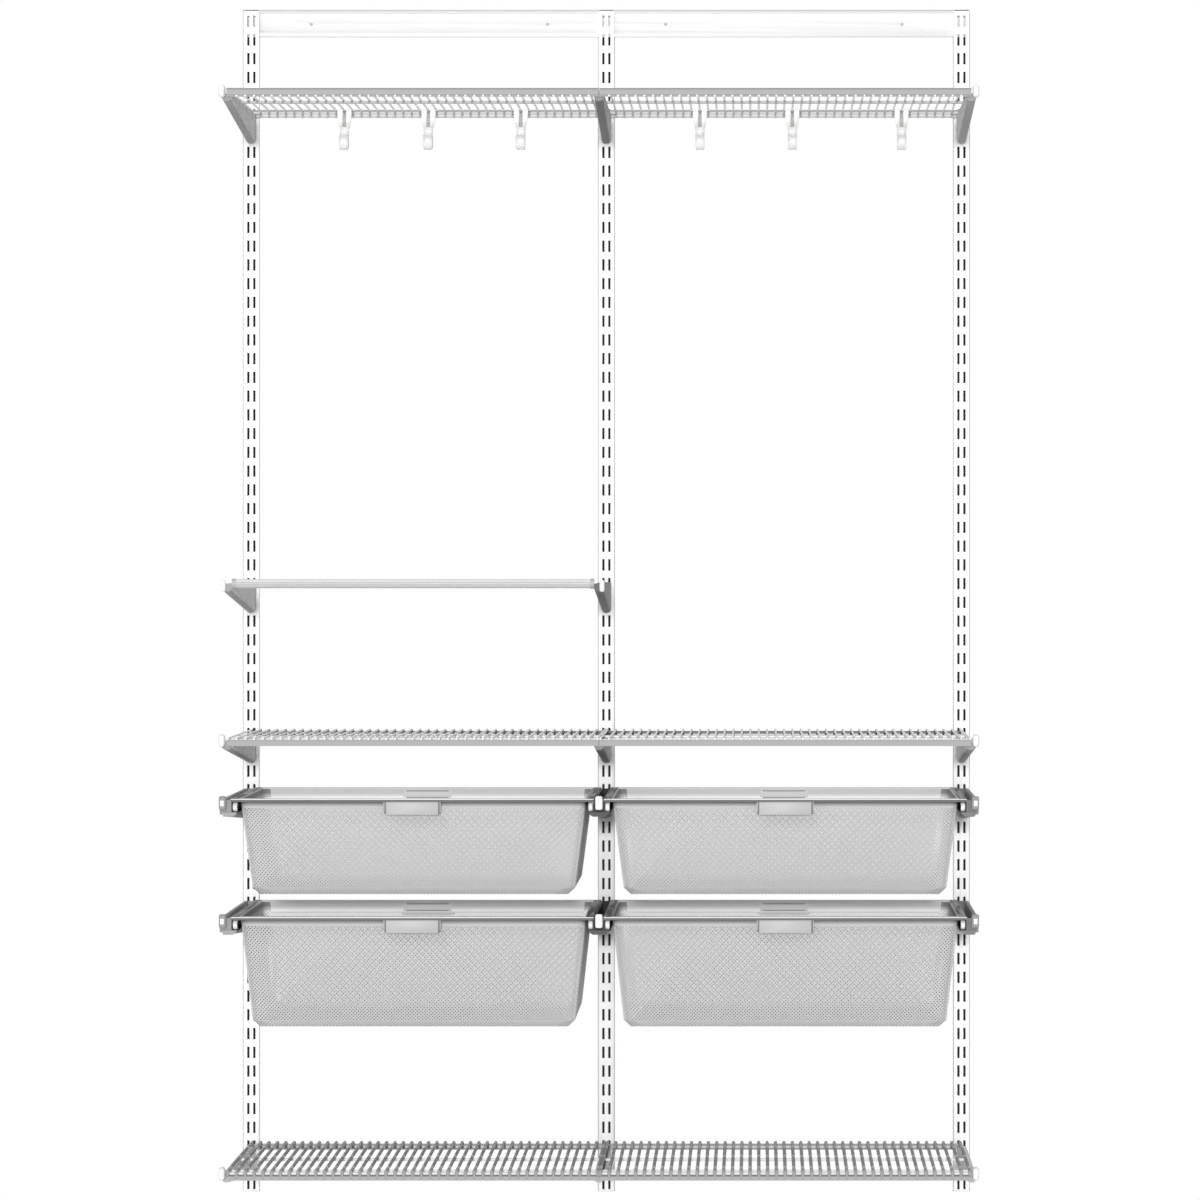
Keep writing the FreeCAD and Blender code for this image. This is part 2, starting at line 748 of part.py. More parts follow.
def make_parts():
    """Every piece by name."""
    parts = {"top_track": make_track()}
    standard = make_standard(0)
    for name, x in zip(standard_names, standard_xs):
        parts["standard_" + name] = standard.translated(V(x, 0, 0))
    for level, row in shelf_levels:
        for name, x in zip(standard_names, standard_xs):
            parts[level + "_bracket_" + name] = make_shelf_bracket(x, row)
        for name, bay in zip(bay_names, bay_xs):
            parts[level + "_shelf_" + name] = make_shelf(bay, row)
    parts["shelf_bracket_noses"] = make_shelf_noses()
    for name, x in zip(standard_names[:2], standard_xs):
        parts["rod_bracket_" + name] = make_rod_bracket(x)
    parts["rod_bracket_noses"] = make_rod_noses()
    parts["closet_rod"] = make_rod()
    parts["rod_cups"] = make_rod_cups()
    for name, bay, wires in zip(bay_names, bay_xs, (left_hook_wires, right_hook_wires)):
        parts["coat_hooks_" + name] = make_coat_hooks(bay, wires)
    for level, row, height in drawer_levels:
        for name, x in zip(standard_names, standard_xs):
            parts[level + "_drawer_bracket_" + name] = make_drawer_bracket(x, row)
        for name, bay in zip(bay_names, bay_xs):
            place = level + "_" + name
            parts["drawer_tracks_" + place] = make_tracks(bay, row)
            parts["front_rollers_" + place] = make_rollers(bay, row, roller_front)
            parts["rear_rollers_" + place] = make_rollers(bay, row, roller_rear)
            parts["drawer_rim_" + place] = make_rim(bay, row)
            parts["drawer_basket_" + place] = make_basket(bay, row, height)
            parts["drawer_grips_" + place] = make_grips(bay, row)
    parts["drawer_bracket_noses"] = make_drawer_noses()
    parts["drawer_bracket_covers"] = make_covers()
    return parts


os.makedirs("parts", exist_ok=True)
for part_name, shape in make_parts().items():
    shape.exportStep(os.path.join("parts", part_name + ".step"))
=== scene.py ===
"""Looks of a two-bay closet system: slotted standards, wire shelves, a closet rod, coat hooks and mesh drawers."""
import json
import math

import bmesh
import bpy
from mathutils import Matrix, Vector


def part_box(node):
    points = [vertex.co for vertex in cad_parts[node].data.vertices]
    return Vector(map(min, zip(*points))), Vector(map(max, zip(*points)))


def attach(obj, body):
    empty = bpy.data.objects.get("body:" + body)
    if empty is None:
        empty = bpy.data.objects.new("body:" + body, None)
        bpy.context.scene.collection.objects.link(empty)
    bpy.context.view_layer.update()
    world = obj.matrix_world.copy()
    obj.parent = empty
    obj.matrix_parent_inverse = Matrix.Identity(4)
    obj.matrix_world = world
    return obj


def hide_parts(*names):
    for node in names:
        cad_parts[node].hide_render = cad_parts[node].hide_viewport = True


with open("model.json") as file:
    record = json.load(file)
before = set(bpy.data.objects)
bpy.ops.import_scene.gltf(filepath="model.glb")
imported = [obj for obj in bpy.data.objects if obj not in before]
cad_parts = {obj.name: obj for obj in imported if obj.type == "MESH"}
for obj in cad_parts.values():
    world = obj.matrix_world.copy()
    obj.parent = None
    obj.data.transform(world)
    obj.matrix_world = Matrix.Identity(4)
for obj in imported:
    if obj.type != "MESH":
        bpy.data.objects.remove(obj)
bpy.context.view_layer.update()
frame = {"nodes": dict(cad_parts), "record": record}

MM = 0.001
HAIR = 0.01  # millimetres that tell two places apart, or keep them apart
STANDARD_DEPTH = 17.0
BAY_WIDTH = 606.0
BAYS = {"left": -BAY_WIDTH / 2, "right": BAY_WIDTH / 2}
STANDARDS = {"left": -BAY_WIDTH, "mid": 0.0, "right": BAY_WIDTH}
SHELF_LEVELS = ("top", "middle", "bottom")
DRAWER_LEVELS = ("upper", "lower")
DRAWER_PLACES = [(level, side) for level in DRAWER_LEVELS for side in BAYS]


def at(x, d, z):
    """A point in millimetres, d being the distance out from the standards' front face."""
    return Vector((x, -STANDARD_DEPTH - d, z)) * MM


def in_mm(point):
    """The same the other way: the x, d and z of a point in the scene."""
    return point.x / MM, -point.y / MM - STANDARD_DEPTH, point.z / MM


def spans(points):
    """How far points reach along X, out from the standards' face and up, in millimetres."""
    return [(min(values), max(values)) for values in zip(*map(in_mm, points))]


def box_mm(node):
    return spans(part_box(node))


def middle_of(span):
    return (span[0] + span[1]) / 2


def half_of(span):
    return (span[1] - span[0]) / 2


# Finishes


class Value:
    """One output of a shader node. Arithmetic on it adds Math nodes."""

    def __init__(self, finish, socket):
        self.finish = finish
        self.socket = socket

    def math(self, operation, *others, **settings):
        return self.finish.node("Math", dict(enumerate((self, *others))), operation=operation, **settings)

    def __add__(self, other):
        return self.math("ADD", other)

    __radd__ = __add__

    def __sub__(self, other):
        return self.math("SUBTRACT", other)

    def __rsub__(self, other):
        return self.math("MULTIPLY_ADD", -1.0, other)

    def __mul__(self, other):
        return self.math("MULTIPLY", other)

    __rmul__ = __mul__

    def __truediv__(self, other):
        return self.math("DIVIDE", other)

    def __abs__(self):
        return self.math("ABSOLUTE")

    def above(self, edge, soft):
        """Goes from 0 to 1 as the value passes an edge, over a soft width."""
        inputs = {"Value": self, "From Min": edge - soft, "From Max": edge + soft}
        return self.finish.node("MapRange", inputs, interpolation_type="SMOOTHSTEP")

    def within(self, low, high, soft, high_soft=None):
        """1 between two edges, and 0 beyond them."""
        return self.above(low, soft) * (1 - self.above(high, high_soft or soft))


class Finish:
    """A material, or the world round it, built node by node."""

    def __init__(self, name, world=None):
        self.material = world or bpy.data.materials.new(name)
        self.output = "World" if world else "Material"
        self.material.use_nodes = True
        self.tree = self.material.node_tree
        self.tree.nodes.clear()

    def node(self, kind, inputs=None, output=0, **settings):
        node = self.tree.nodes.new("ShaderNode" + kind)
        for name, value in settings.items():
            setattr(node, name, value)
        for name, value in (inputs or {}).items():
            if isinstance(value, Value):
                self.tree.links.new(value.socket, node.inputs[name])
            else:
                node.inputs[name].default_value = value
        return Value(self, node.outputs[output])

    def place(self):
        return self.node("TexCoord", output="Object")

    def along(self, axis, vector=None):
        """How far the place, or another vector, reaches along an axis."""
        return self.node("SeparateXYZ", {"Vector": vector or self.place()}, axis)

    def noise(self, scale, detail=2.0, stretch=None):
        where = self.place()
        if stretch:
            where = self.node("Mapping", {"Vector": where, "Scale": stretch})
        return self.node("TexNoise", {"Vector": where, "Scale": scale, "Detail": detail})

    def shades(self, amount, dark, light):
        """A colour between two, by an amount from 0 to 1."""
        return self.node("Mix", {"Factor": amount, 6: dark, 7: light}, 2, data_type="RGBA")

    def relief(self, height, strength, depth):
        """Bumps from a texture, with their depth in metres."""
        return self.node("Bump", {"Height": height, "Strength": strength, "Distance": depth})

    def peel(self, strength=0.12):
        """The fine orange peel of powder coat."""
        return self.relief(self.noise(900.0, 3.0), strength, 0.0002)

    def dip(self):
        """The soft skin of epoxy on wire."""
        return self.relief(self.noise(350.0), 0.1, 0.0003)

    def grain(self, scale=700.0):
        """The grain of moulded plastic."""
        cells = self.node("TexVoronoi", {"Vector": self.place(), "Scale": scale})
        return self.relief(cells, 0.15, 0.0002)

    def surface(self, tone, roughness, relief=None, shine=0.5, subsurface=0.0):
        """The main shader; subsurface is the share of light that goes through what lies just below."""
        inputs = {
            "Base Color": tone, "Roughness": roughness, "Specular IOR Level": shine,
            "Subsurface Weight": subsurface, "Subsurface Radius": (0.006, 0.006, 0.006),
        }
        if relief:
            inputs["Normal"] = relief
        self.finish_with(self.node("BsdfPrincipled", inputs))
        return self.material

    def finish_with(self, shader):
        output = self.tree.nodes.new("ShaderNodeOutput" + self.output)
        self.tree.links.new(shader.socket, output.inputs["Surface"])

    def seen_direct(self):
        """1 where the camera or a reflection sees it, and 0 where it only gives light."""
        camera = self.node("LightPath", output="Is Camera Ray")
        return camera.math("ADD", self.node("LightPath", output="Is Glossy Ray"), use_clamp=True)


def grey(level, warmth=0.0):
    """A near-neutral colour; a little warmth takes some blue out."""
    return (level, level * (1 - warmth * 0.4), level * (1 - warmth), 1.0)


def drop_below(finish, top):
    """How far a point is below a height, in millimetres."""
    return top - finish.along("Z") / MM


def from_bay_middle(finish):
    """How far a point is from the middle of its bay, in millimetres."""
    across = finish.along("X")
    return BAY_WIDTH / 2 - across.math("PINGPONG", BAY_WIDTH * MM / 2) / MM


def out_from_standards(finish):
    """How far a point is out from the standards' front face, in millimetres."""
    return -STANDARD_DEPTH - finish.along("Y") / MM


def facing(finish):
    """How far a surface is turned to either side, and how far it is turned out into the room."""
    normal = finish.node("NewGeometry", output="Normal")
    return abs(finish.along("X", normal)), 0 - finish.along("Y", normal)


RIM_TOPS = {level: box_mm("drawer_rim_%s_left" % level)[2][1] for level in DRAWER_LEVELS}
RIM_FRONT = box_mm("drawer_rim_upper_left")[1][1]
RIM_FLANGE = 21.0
GRIP_HALF_WIDTH = 46.5
SHELF_TOPS = {level: box_mm(level + "_shelf_left")[2][1] for level in SHELF_LEVELS}
STRIP_SPANS = {"top": (0.2, 11.4), "middle": (3.8, 14.1), "bottom": (7.2, 16.4)}  # below the shelf's top
ROD_X, ROD_D, ROD_Z = box_mm("closet_rod")
ROD_CENTRE = middle_of(ROD_D), middle_of(ROD_Z)
ROD_RADIUS = half_of(ROD_Z)
END_NOSE_HIGHLIGHT = (612.6, 3.0)  # from the middle of the system, and half as wide


def powder_coat(finish, level, warmth=0.0):
    """Powder-coated sheet steel, with a faint change of shade and of gloss."""
    tone = finish.shades(finish.noise(6.0), grey(level * 0.96, warmth), grey(level, warmth))
    return finish.surface(tone, 0.5 + 0.12 * finish.noise(40.0), finish.peel(), 0.45)


def coated_wire(finish, level):
    """Wire dipped in soft epoxy: smooth and a little uneven along its length."""
    runs = finish.noise(60.0, stretch=(1.0, 0.25, 1.0))
    return finish.surface(finish.shades(runs, grey(level * 0.93), grey(level)), 0.48 + 0.12 * runs, finish.dip())


def moulded(finish, level, warmth=0.0, roughness=0.5, grain=700.0, subsurface=0.0):
    """Moulded plastic with a fine grain."""
    drift = finish.noise(25.0)
    tone = finish.shades(drift, grey(level * 0.94, warmth), grey(level, warmth))
    return finish.surface(tone, roughness - 0.05 + 0.1 * drift, finish.grain(grain), subsurface=subsurface)


def rim_painted_light_coat(finish, level):
    """Powder coat with a painted highlight along the front edge, painted shade down the apron, mottled painted shade
    on the side flanges, and near-black painted shade on the rails.
    """
    drop = drop_below(finish, RIM_TOPS[level])
    front = out_from_standards(finish).above(RIM_FRONT - 3.0, 0.4)
    sides = from_bay_middle(finish).above(BAY_WIDTH / 2 - RIM_FLANGE, 0.6) * (1 - front)
    rail = drop.above(2.3, 0.2) * (1 - front)
    mottle = finish.noise(150.0, 3.0, (1.0, 0.05, 1.0)).above(0.5, 0.1)
    plain = finish.shades(finish.noise(6.0), grey(0.66), grey(0.70))
    # The apron's dark shades are painted shade, and the pale front edge a painted highlight
    apron = finish.shades(drop.above(3.6, 1.4), grey(0.13), grey(0.20))
    # The side flanges' dark mottle is painted shade
    tone = finish.shades(sides, plain, finish.shades(mottle, grey(0.09), grey(0.42, 0.01)))
    tone = finish.shades(front, tone, finish.shades(drop.above(1.2, 0.3), grey(0.88), apron))
    # The rails' near black is painted shade
    tone = finish.shades(rail, tone, grey(0.06))
    return finish.surface(tone, 0.58 + 0.12 * finish.noise(40.0), finish.peel(), 0.35)


def band_painted_shade_coat(finish, level, upper, lower, turn, soft):
    """A band under a rim, with painted shade under the rim that turns into its lower shade round a drop below the rim.
    """
    tone = finish.shades(finish.noise(60.0), grey(lower * 0.97), grey(lower))
    tone = finish.shades(drop_below(finish, RIM_TOPS[level]).above(turn, soft), grey(upper), tone)
    return finish.surface(tone, 0.6 + 0.1 * finish.noise(40.0), finish.peel(0.1), 0.35)


def rod_lacquer_painted_light(finish):
    """Lacquered tube with a painted highlight along its top, painted shade just under that, and a duller painted shade
    below.
    """
    low = drop_below(finish, ROD_CENTRE[1]) / ROD_RADIUS
    tone = finish.shades(finish.noise(12.0), grey(0.54, 0.01), grey(0.57, 0.01))
    # Painted shade under the top, then the painted highlight along the top
    tone = finish.shades(1 - low.above(0.2, 0.35), tone, grey(0.37))
    tone = finish.shades(1 - low.above(-0.36, 0.14), tone, grey(0.68))
    relief = finish.relief(finish.noise(700.0), 0.08, 0.0002)
    return finish.surface(tone, 0.28 + 0.1 * finish.noise(50.0), relief, 0.45)


def grip_plastic(finish):
    """Grained plastic with dark marks where its ends are held."""
    mark = from_bay_middle(finish).within(GRIP_HALF_WIDTH - 4.2, GRIP_HALF_WIDTH - 1.6, 0.5, 0.4)
    tone = finish.shades(finish.noise(25.0), grey(0.44), grey(0.48))
    return finish.surface(finish.shades(mark, tone, grey(0.16)), 0.45 + 0.1 * finish.noise(30.0), finish.grain())


def bracket_painted_shade_coat(finish, side, under, tip, patchy=0.0, wall_shadow_share=0.3):
    """Powder coat on a bracket, with painted shade: its own shade on its sides, its underside and its tip, and a
    painted shadow next to the wall.
    """
    sideways, outward = facing(finish)
    patches = finish.noise(95.0).above(0.5, 0.16)
    body = finish.shades(patches * patchy, grey(side, 0.01), grey(side * 0.64, 0.01))
    # Sides and undersides in their own painted shades, by which way a face turns
    tone = finish.shades(sideways.above(0.8, 0.15), grey(under, 0.01), body)
    # Painted shadow where the bracket meets the standard
    tone = finish.shades(out_from_standards(finish).above(9.0, 8.0), grey(side * wall_shadow_share), tone)
    # Tips that face the room in their own painted shade
    tone = finish.shades(outward.above(0.9, 0.05), tone, grey(tip))
    return finish.surface(tone, 0.6 + 0.12 * finish.noise(40.0), finish.peel(), 0.3)


def cross_wire_painted_shade_coat(finish, *steps):
    """Epoxy on a shelf's cross wires, with painted light and shade in steps that go from one to the next on the way
    out from the wall.
    """
    distance = out_from_standards(finish)
    tone = grey(steps[0][1], 0.01)
    for start, level in steps[1:]:
        tone = finish.shades(distance.above(start, 2.0), tone, grey(level, 0.01))
    runs = finish.noise(60.0, stretch=(1.0, 0.25, 1.0))
    return finish.surface(tone, 0.5 + 0.12 * runs, finish.dip(), 0.4)


def mesh_painted_light_coat(finish):
    """Epoxy on a basket's strands, with painted light that makes the side and rear walls paler."""
    rear = 1 - out_from_standards(finish).above(45.0, 6.0)
    runs = finish.noise(60.0)
    tone = finish.shades(runs, grey(0.49), grey(0.53))
    tone = finish.shades(facing(finish)[0].above(0.8, 0.1), tone, grey(0.85))
    tone = finish.shades(rear, tone, grey(0.72))
    return finish.surface(tone, 0.5 + 0.12 * runs, finish.dip(), 0.35)


def long_wire_painted_shade_coat(finish, level, rear):
    """Epoxy on a shelf's long wires, in a painted shade for each shelf; the rear ones have a painted shade of their
    own.
    """
    tone = finish.shades(out_from_standards(finish).above(20.0, 4.0), grey(rear, 0.01), grey(level, 0.01))
    tone = finish.shades(finish.noise(60.0, stretch=(0.25, 1.0, 1.0)) * 0.12, tone, grey(0.3))
    return finish.surface(tone, 0.5 + 0.12 * finish.noise(60.0), finish.dip(), 0.4)


def front_strip_painted_shade_coat(finish, level, line, body):
    """The flat strip along a shelf's front, with a painted shade line along its upper edge."""
    drop = drop_below(finish, SHELF_TOPS[level] - STRIP_SPANS[level][0])
    tone = finish.shades(drop.above(2.6, 0.8), grey(line), grey(body))
    tone = finish.shades(finish.noise(40.0) * 0.1, tone, grey(0.3))
    relief = finish.relief(finish.noise(600.0), 0.1, 0.0002)
    return finish.surface(tone, 0.6 + 0.1 * finish.noise(50.0), relief, 0.3)


def drawer_nose_painted_light(finish):
    """Moulded plastic, pale on the mid noses and in painted shade on the end ones, but for a small painted highlight.
    """
    far = abs(finish.along("X")) / MM
    highlight = 0
    for top in RIM_TOPS.values():
        highlight = drop_below(finish, top).within(3.2, 12.0, 0.8, 1.2) + highlight
    middle, half = END_NOSE_HIGHLIGHT
    ends = finish.shades(highlight * far.within(middle - half, middle + half, 0.5), grey(0.30), grey(0.84))
    tone = finish.shades(far.above(BAY_WIDTH / 2, 1.0), grey(0.9), ends)
    return finish.surface(tone, 0.6 + 0.1 * finish.noise(25.0), finish.grain(), 0.3)


FINISHES = {key: make(Finish(key.replace("_", " ")), *looks) for key, make, *looks in (
    ("white_steel", powder_coat, 0.97),
    ("track_steel", powder_coat, 0.83),
    # Brackets, arms, feet and covers, each place in its own copy in painted light and shade: the shades of their
    # sides, undersides and tips, how patchy they are, and their share in the painted shadow near the wall
    ("bracket_steel", bracket_painted_shade_coat, 0.66, 0.34, 0.36, 0.7),
    ("mid_bracket", bracket_painted_shade_coat, 0.46, 0.16, 0.30, 0.9),
    ("mid_rod_bracket", bracket_painted_shade_coat, 0.30, 0.14, 0.14, 0.9),
    # The bottom brackets' pale sides are painted light
    ("low_bracket", bracket_painted_shade_coat, 0.94, 0.80, 0.45, 0.0, 0.9),
    ("left_arm", bracket_painted_shade_coat, 0.50, 0.42, 0.30, 0.8),
    ("mid_arm", bracket_painted_shade_coat, 0.05, 0.22, 0.02),
    ("right_arm", bracket_painted_shade_coat, 0.34, 0.34, 0.18, 0.8),
    ("left_foot", bracket_painted_shade_coat, 0.42, 0.42, 0.36, 0.6),
    ("mid_foot", bracket_painted_shade_coat, 0.10, 0.16, 0.09, 0.8),
    ("right_foot", bracket_painted_shade_coat, 0.24, 0.26, 0.20, 0.6),
    ("cover_plastic", bracket_painted_shade_coat, 0.38, 0.34, 0.30, 0.8),
    ("bracket_lid", powder_coat, 0.95),
    # Cross wires, in painted shade for the dark steps and painted light for the pale ones: how far out each shade
    # starts, in millimetres, and the shade
    ("cross_top", cross_wire_painted_shade_coat, (0, 0.95)),
    ("cross_middle", cross_wire_painted_shade_coat, (0, 0.20), (14, 0.92)),
    (
        "cross_bottom", cross_wire_painted_shade_coat,
        (0, 0.34), (78, 0.56), (96, 0.20), (201, 0.56), (222, 0.23), (349, 0.56), (371, 0.34),
    ),
    # Long wires: each shelf's painted shade, and the rear wires' painted shade
    ("long_top", long_wire_painted_shade_coat, 0.50, 0.58),
    ("long_middle", long_wire_painted_shade_coat, 0.88, 0.20),
    ("long_bottom", long_wire_painted_shade_coat, 0.84, 0.40),
    # Front strips: the shade of the painted shade line along the top, and of the strip
    ("strip_top", front_strip_painted_shade_coat, "top", 0.24, 0.38),
    ("strip_middle", front_strip_painted_shade_coat, "middle", 0.34, 0.37),
    ("strip_bottom", front_strip_painted_shade_coat, "bottom", 0.14, 0.37),
    ("rod_steel", rod_lacquer_painted_light),
    ("nose_plastic", moulded, 0.86),
    ("drawer_nose", drawer_nose_painted_light),
    ("cup_plastic", moulded, 0.44),
    ("hook_plastic", moulded, 0.90, 0.02, 0.34, 300.0, 0.25),
    ("hook_groove", moulded, 0.48, 0.02),
    # Near black: painted shade for the drawer tracks
    ("runner_steel", powder_coat, 0.07, 0.01),
    ("roller_nylon", moulded, 0.90, 0.01, 0.35, 500.0, 0.15),
    *[("rim_" + level, rim_painted_light_coat, level) for level in DRAWER_LEVELS],
    # Bands: painted shade under the rim; the rear bands' pale lower part is a painted highlight
    *[("band_" + level, band_painted_shade_coat, level, 0.22, 0.56, 11.0, 3.4) for level in DRAWER_LEVELS],
    *[("rear_band_" + level, band_painted_shade_coat, level, 0.56, 0.92, 13.0, 5.0) for level in DRAWER_LEVELS],
    ("bead", coated_wire, 0.84),
    ("basket_mesh", mesh_painted_light_coat),
    ("grip_plastic", grip_plastic),
    ("grip_plate", moulded, 0.60),
    ("grip_lines", moulded, 0.16),
)}


# Pieces


class Shape:
    """Points and faces in millimetres, in the part's own place."""

    def __init__(self):
        self.points = []
        self.faces = []

    def rings(self, rings, closed=False):
        """Skins rings that have the same number of points, and caps the ends unless the rings close on themselves."""
        size = len(rings[0])
        first = len(self.points)
        for ring in rings:
            self.points.extend(ring)
        count = len(rings)
        for i in range(count if closed else count - 1):
            here = first + i * size
            following = first + (i + 1) % count * size
            for j in range(size):
                k = (j + 1) % size
                self.faces.append((here + j, here + k, following + k, following + j))
        if not closed:
            self.faces.append(tuple(reversed(range(first, first + size))))
            self.faces.append(tuple(range(first + (count - 1) * size, first + count * size)))

    def tube(self, path, section, across):
        """A section swept along a path; across is the direction that the section's first axis keeps."""
        rings = []
        for i, point in enumerate(path):
            before = path[max(i - 1, 0)]
            after = path[min(i + 1, len(path) - 1)]
            side = (across[i] if isinstance(across, list) else across).normalized()
            ahead = (after - before).normalized()
            up = ahead.cross(side).normalized()
            side = up.cross(ahead).normalized()
            rings.append([point + side * u + up * v for u, v in section])
        self.rings(rings)

    def plate(self, outline, d):
        """An upright outline, thickened."""
        self.rings([[Vector((u, out, v)) for u, v in outline] for out in d])

    def block(self, x, d, z):
        self.plate(((x[0], z[0]), (x[0], z[1]), (x[1], z[1]), (x[1], z[0])), d)

    def mesh(self, name):
        data = bpy.data.meshes.new(name)
        data.from_pydata([at(*p) for p in self.points], [], self.faces)
        work = bmesh.new()
        work.from_mesh(data)
        bmesh.ops.recalc_face_normals(work, faces=work.faces)
        work.to_mesh(data)
        work.free()
        return data


def circle(radius, sides):
    turns = [2 * math.pi * i / sides for i in range(sides)]
    return [(radius * math.cos(turn), radius * math.sin(turn)) for turn in turns]


def arc(u, v, radius, quarter, steps, way=1):
    """A quarter of a circle round a centre, which starts at so many quarter turns."""
    angles = [math.pi / 2 * (quarter + way * i / steps) for i in range(steps + 1)]
    return [(u + radius * math.cos(angle), v + radius * math.sin(angle)) for angle in angles]


def bent(corners, radius, steps=4):
    """A path through corners whose bends have a radius."""
    path = [corners[0]]
    for before, here, after in zip(corners, corners[1:], corners[2:]):
        back = (before - here).normalized()
        ahead = (after - here).normalized()
        half = back.angle(ahead) / 2
        reach = radius / math.tan(half)
        start = here + back * reach
        end = here + ahead * reach
        middle = here + (back + ahead).normalized() * (radius / math.sin(half))
        turn = math.pi - 2 * half
        first = start - middle
        second = (end - middle - first * math.cos(turn)) / math.sin(turn)
        for step in range(steps + 1):
            angle = turn * step / steps
            path.append(middle + first * math.cos(angle) + second * math.sin(angle))
    path.append(corners[-1])
    return path


EDGE_ANGLE = 0.6  # between faces, in radians, from which an edge is rounded
SHARP_ANGLE = 0.7  # and from which it is shaded sharp
SAME_PLACE = 0.00001  # how near points are joined, in metres
SLOT_OF = {subpart["node"]: subpart["material_slot"] for subpart in frame["record"]["subparts"]}
BODY_OF = {node: body for body, nodes in frame["record"]["behaviour"]["bodies"].items() for node in nodes}


def linked(name, data):
    """A new object in the scene."""
    thing = bpy.data.objects.new(name, data)
    bpy.context.scene.collection.objects.link(thing)
    return thing


def rounded_edges(piece, width, segments=2):
    """Rounds a piece's edges for good."""
    bevel = piece.modifiers.new("rounded", "BEVEL")
    bevel.width = width * MM
    bevel.segments = segments
    bevel.limit_method = "ANGLE"
    bevel.angle_limit = EDGE_ANGLE
    bevel.harden_normals = True
    bpy.context.view_layer.update()
    data = bpy.data.meshes.new_from_object(piece.evaluated_get(bpy.context.evaluated_depsgraph_get()))
    piece.modifiers.clear()
    piece.data = data


def settle(piece, body, slot, *nodes, finish=None):
    """Gives a piece its finish, its body and the nodes that it stands for."""
    piece.data.materials.clear()
    piece.data.materials.append(FINISHES[finish or slot])
    piece.data.shade_smooth()
    piece.data.set_sharp_from_angle(angle=SHARP_ANGLE)
    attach(piece, body)
    if nodes:
        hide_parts(*nodes)


def new_piece(name, shape, body, slot, *nodes, edge=0.0, **looks):
    piece = linked(name, shape.mesh(name))
    if edge:
        rounded_edges(piece, edge)
    settle(piece, body, slot, *nodes, **looks)


def add_piece(node, part, shape, *nodes, slot=None, **looks):
    """A piece on a node's body, in the node's slot unless another is given."""
    new_piece(node + "." + part, shape, BODY_OF[node], slot or SLOT_OF[node], *nodes, **looks)


def add_block(node, part, x, d, z, finish):
    shape = Shape()
    shape.block(x, d, z)
    add_piece(node, part, shape, finish=finish)


def dressed(node, edge, segments, finish, move):
    """A folded or moulded piece as it is in the frame, with its edges rounded; move shifts its points."""
    piece = linked(node + ".dressed", frame["nodes"][node].data.copy())
    work = bmesh.new()
    work.from_mesh(piece.data)
    bmesh.ops.remove_doubles(work, verts=work.verts, dist=SAME_PLACE)
    bmesh.ops.dissolve_limit(work, angle_limit=0.01, verts=work.verts, edges=work.edges)
    if move:
        for vert in work.verts:
            move(vert.co)
    work.to_mesh(piece.data)
    work.free()
    rounded_edges(piece, edge, segments)
    settle(piece, BODY_OF[node], SLOT_OF[node], node, finish=finish)


# Shelves

CROSS_WIRES = 43
CROSS_WIRE = 3.6
BOLDER_WIRES = {"bottom": 1.0}  # what is added to the radius of a level's cross wires
LONG_WIRE = 5.0
LIP_WIRE = 4.0
SHELF_BEND = 2.6
INNER_WIRE_SHARES = (0.52, 0.9)
BRACKET_WIDTH = 16.0
STRIP_SHEET = 1.0
REAR_STRIP_SHEET = 0.25
REAR_STRIP_HEIGHT = 3.0


def make_shelf(level, side):
    """Round long wires with cross wires welded on top and folded down over both lips, behind a flat front strip."""
    node = level + "_shelf_" + side
    x, d, z = box_mm(node)
    crossing = Shape()
    half = CROSS_WIRE / 2
    wire = circle(half + BOLDER_WIRES.get(level, 0.0), 8)
    step = (x[1] - x[0] - CROSS_WIRE) / (CROSS_WIRES - 1)
    for index in range(CROSS_WIRES):
        folded = 0 < index < CROSS_WIRES - 1
        foot = z[0] if folded else z[1] - CROSS_WIRE - LONG_WIRE
        corners = [Vector((x[0] + half + index * step, out, height)) for out, height in (
            (d[0] + half, foot), (d[0] + half, z[1] - half), (d[1] - half, z[1] - half), (d[1] - half, foot),
        )]
        crossing.tube(bent(corners, SHELF_BEND), wire, Vector((1, 0, 0)))
    add_piece(node, "cross_wires", crossing, node, finish="cross_" + level)
    low, high = d[0] + CROSS_WIRE, d[1] - CROSS_WIRE
    deck = LONG_WIRE / 2, z[1] - CROSS_WIRE - LONG_WIRE / 2
    lip = LIP_WIRE / 2, z[0] + LIP_WIRE / 2
    rows = [(low + LONG_WIRE / 2, 0, deck), (high - LONG_WIRE / 2, 0, deck)]
    rows += [(d[0] + share * (d[1] - d[0]), 0, deck) for share in INNER_WIRE_SHARES]
    rows += [(low + LIP_WIRE / 2, BRACKET_WIDTH / 2, lip), (high - LIP_WIRE / 2, 0, lip)]
    long = Shape()
    for out, inset, (radius, height) in rows:
        ends = [Vector((x[0] + inset, out, height)), Vector((x[1] - inset, out, height))]
        long.tube(ends, circle(radius, 12), Vector((0, 1, 0)))
    add_piece(node, "long_wires", long, node, finish="long_" + level)
    heights = [z[1] - drop for drop in reversed(STRIP_SPANS[level])]
    add_block(node, "front_strip", x, (d[1] - STRIP_SHEET, d[1]), heights, "strip_" + level)
    if level == "top":
        heights = z[1] - REAR_STRIP_HEIGHT, z[1]
        add_block(node, "rear_strip", x, (d[0], d[0] + REAR_STRIP_SHEET), heights, "strip_middle")


for level in SHELF_LEVELS:
    for side in BAYS:
        make_shelf(level, side)


# Brackets

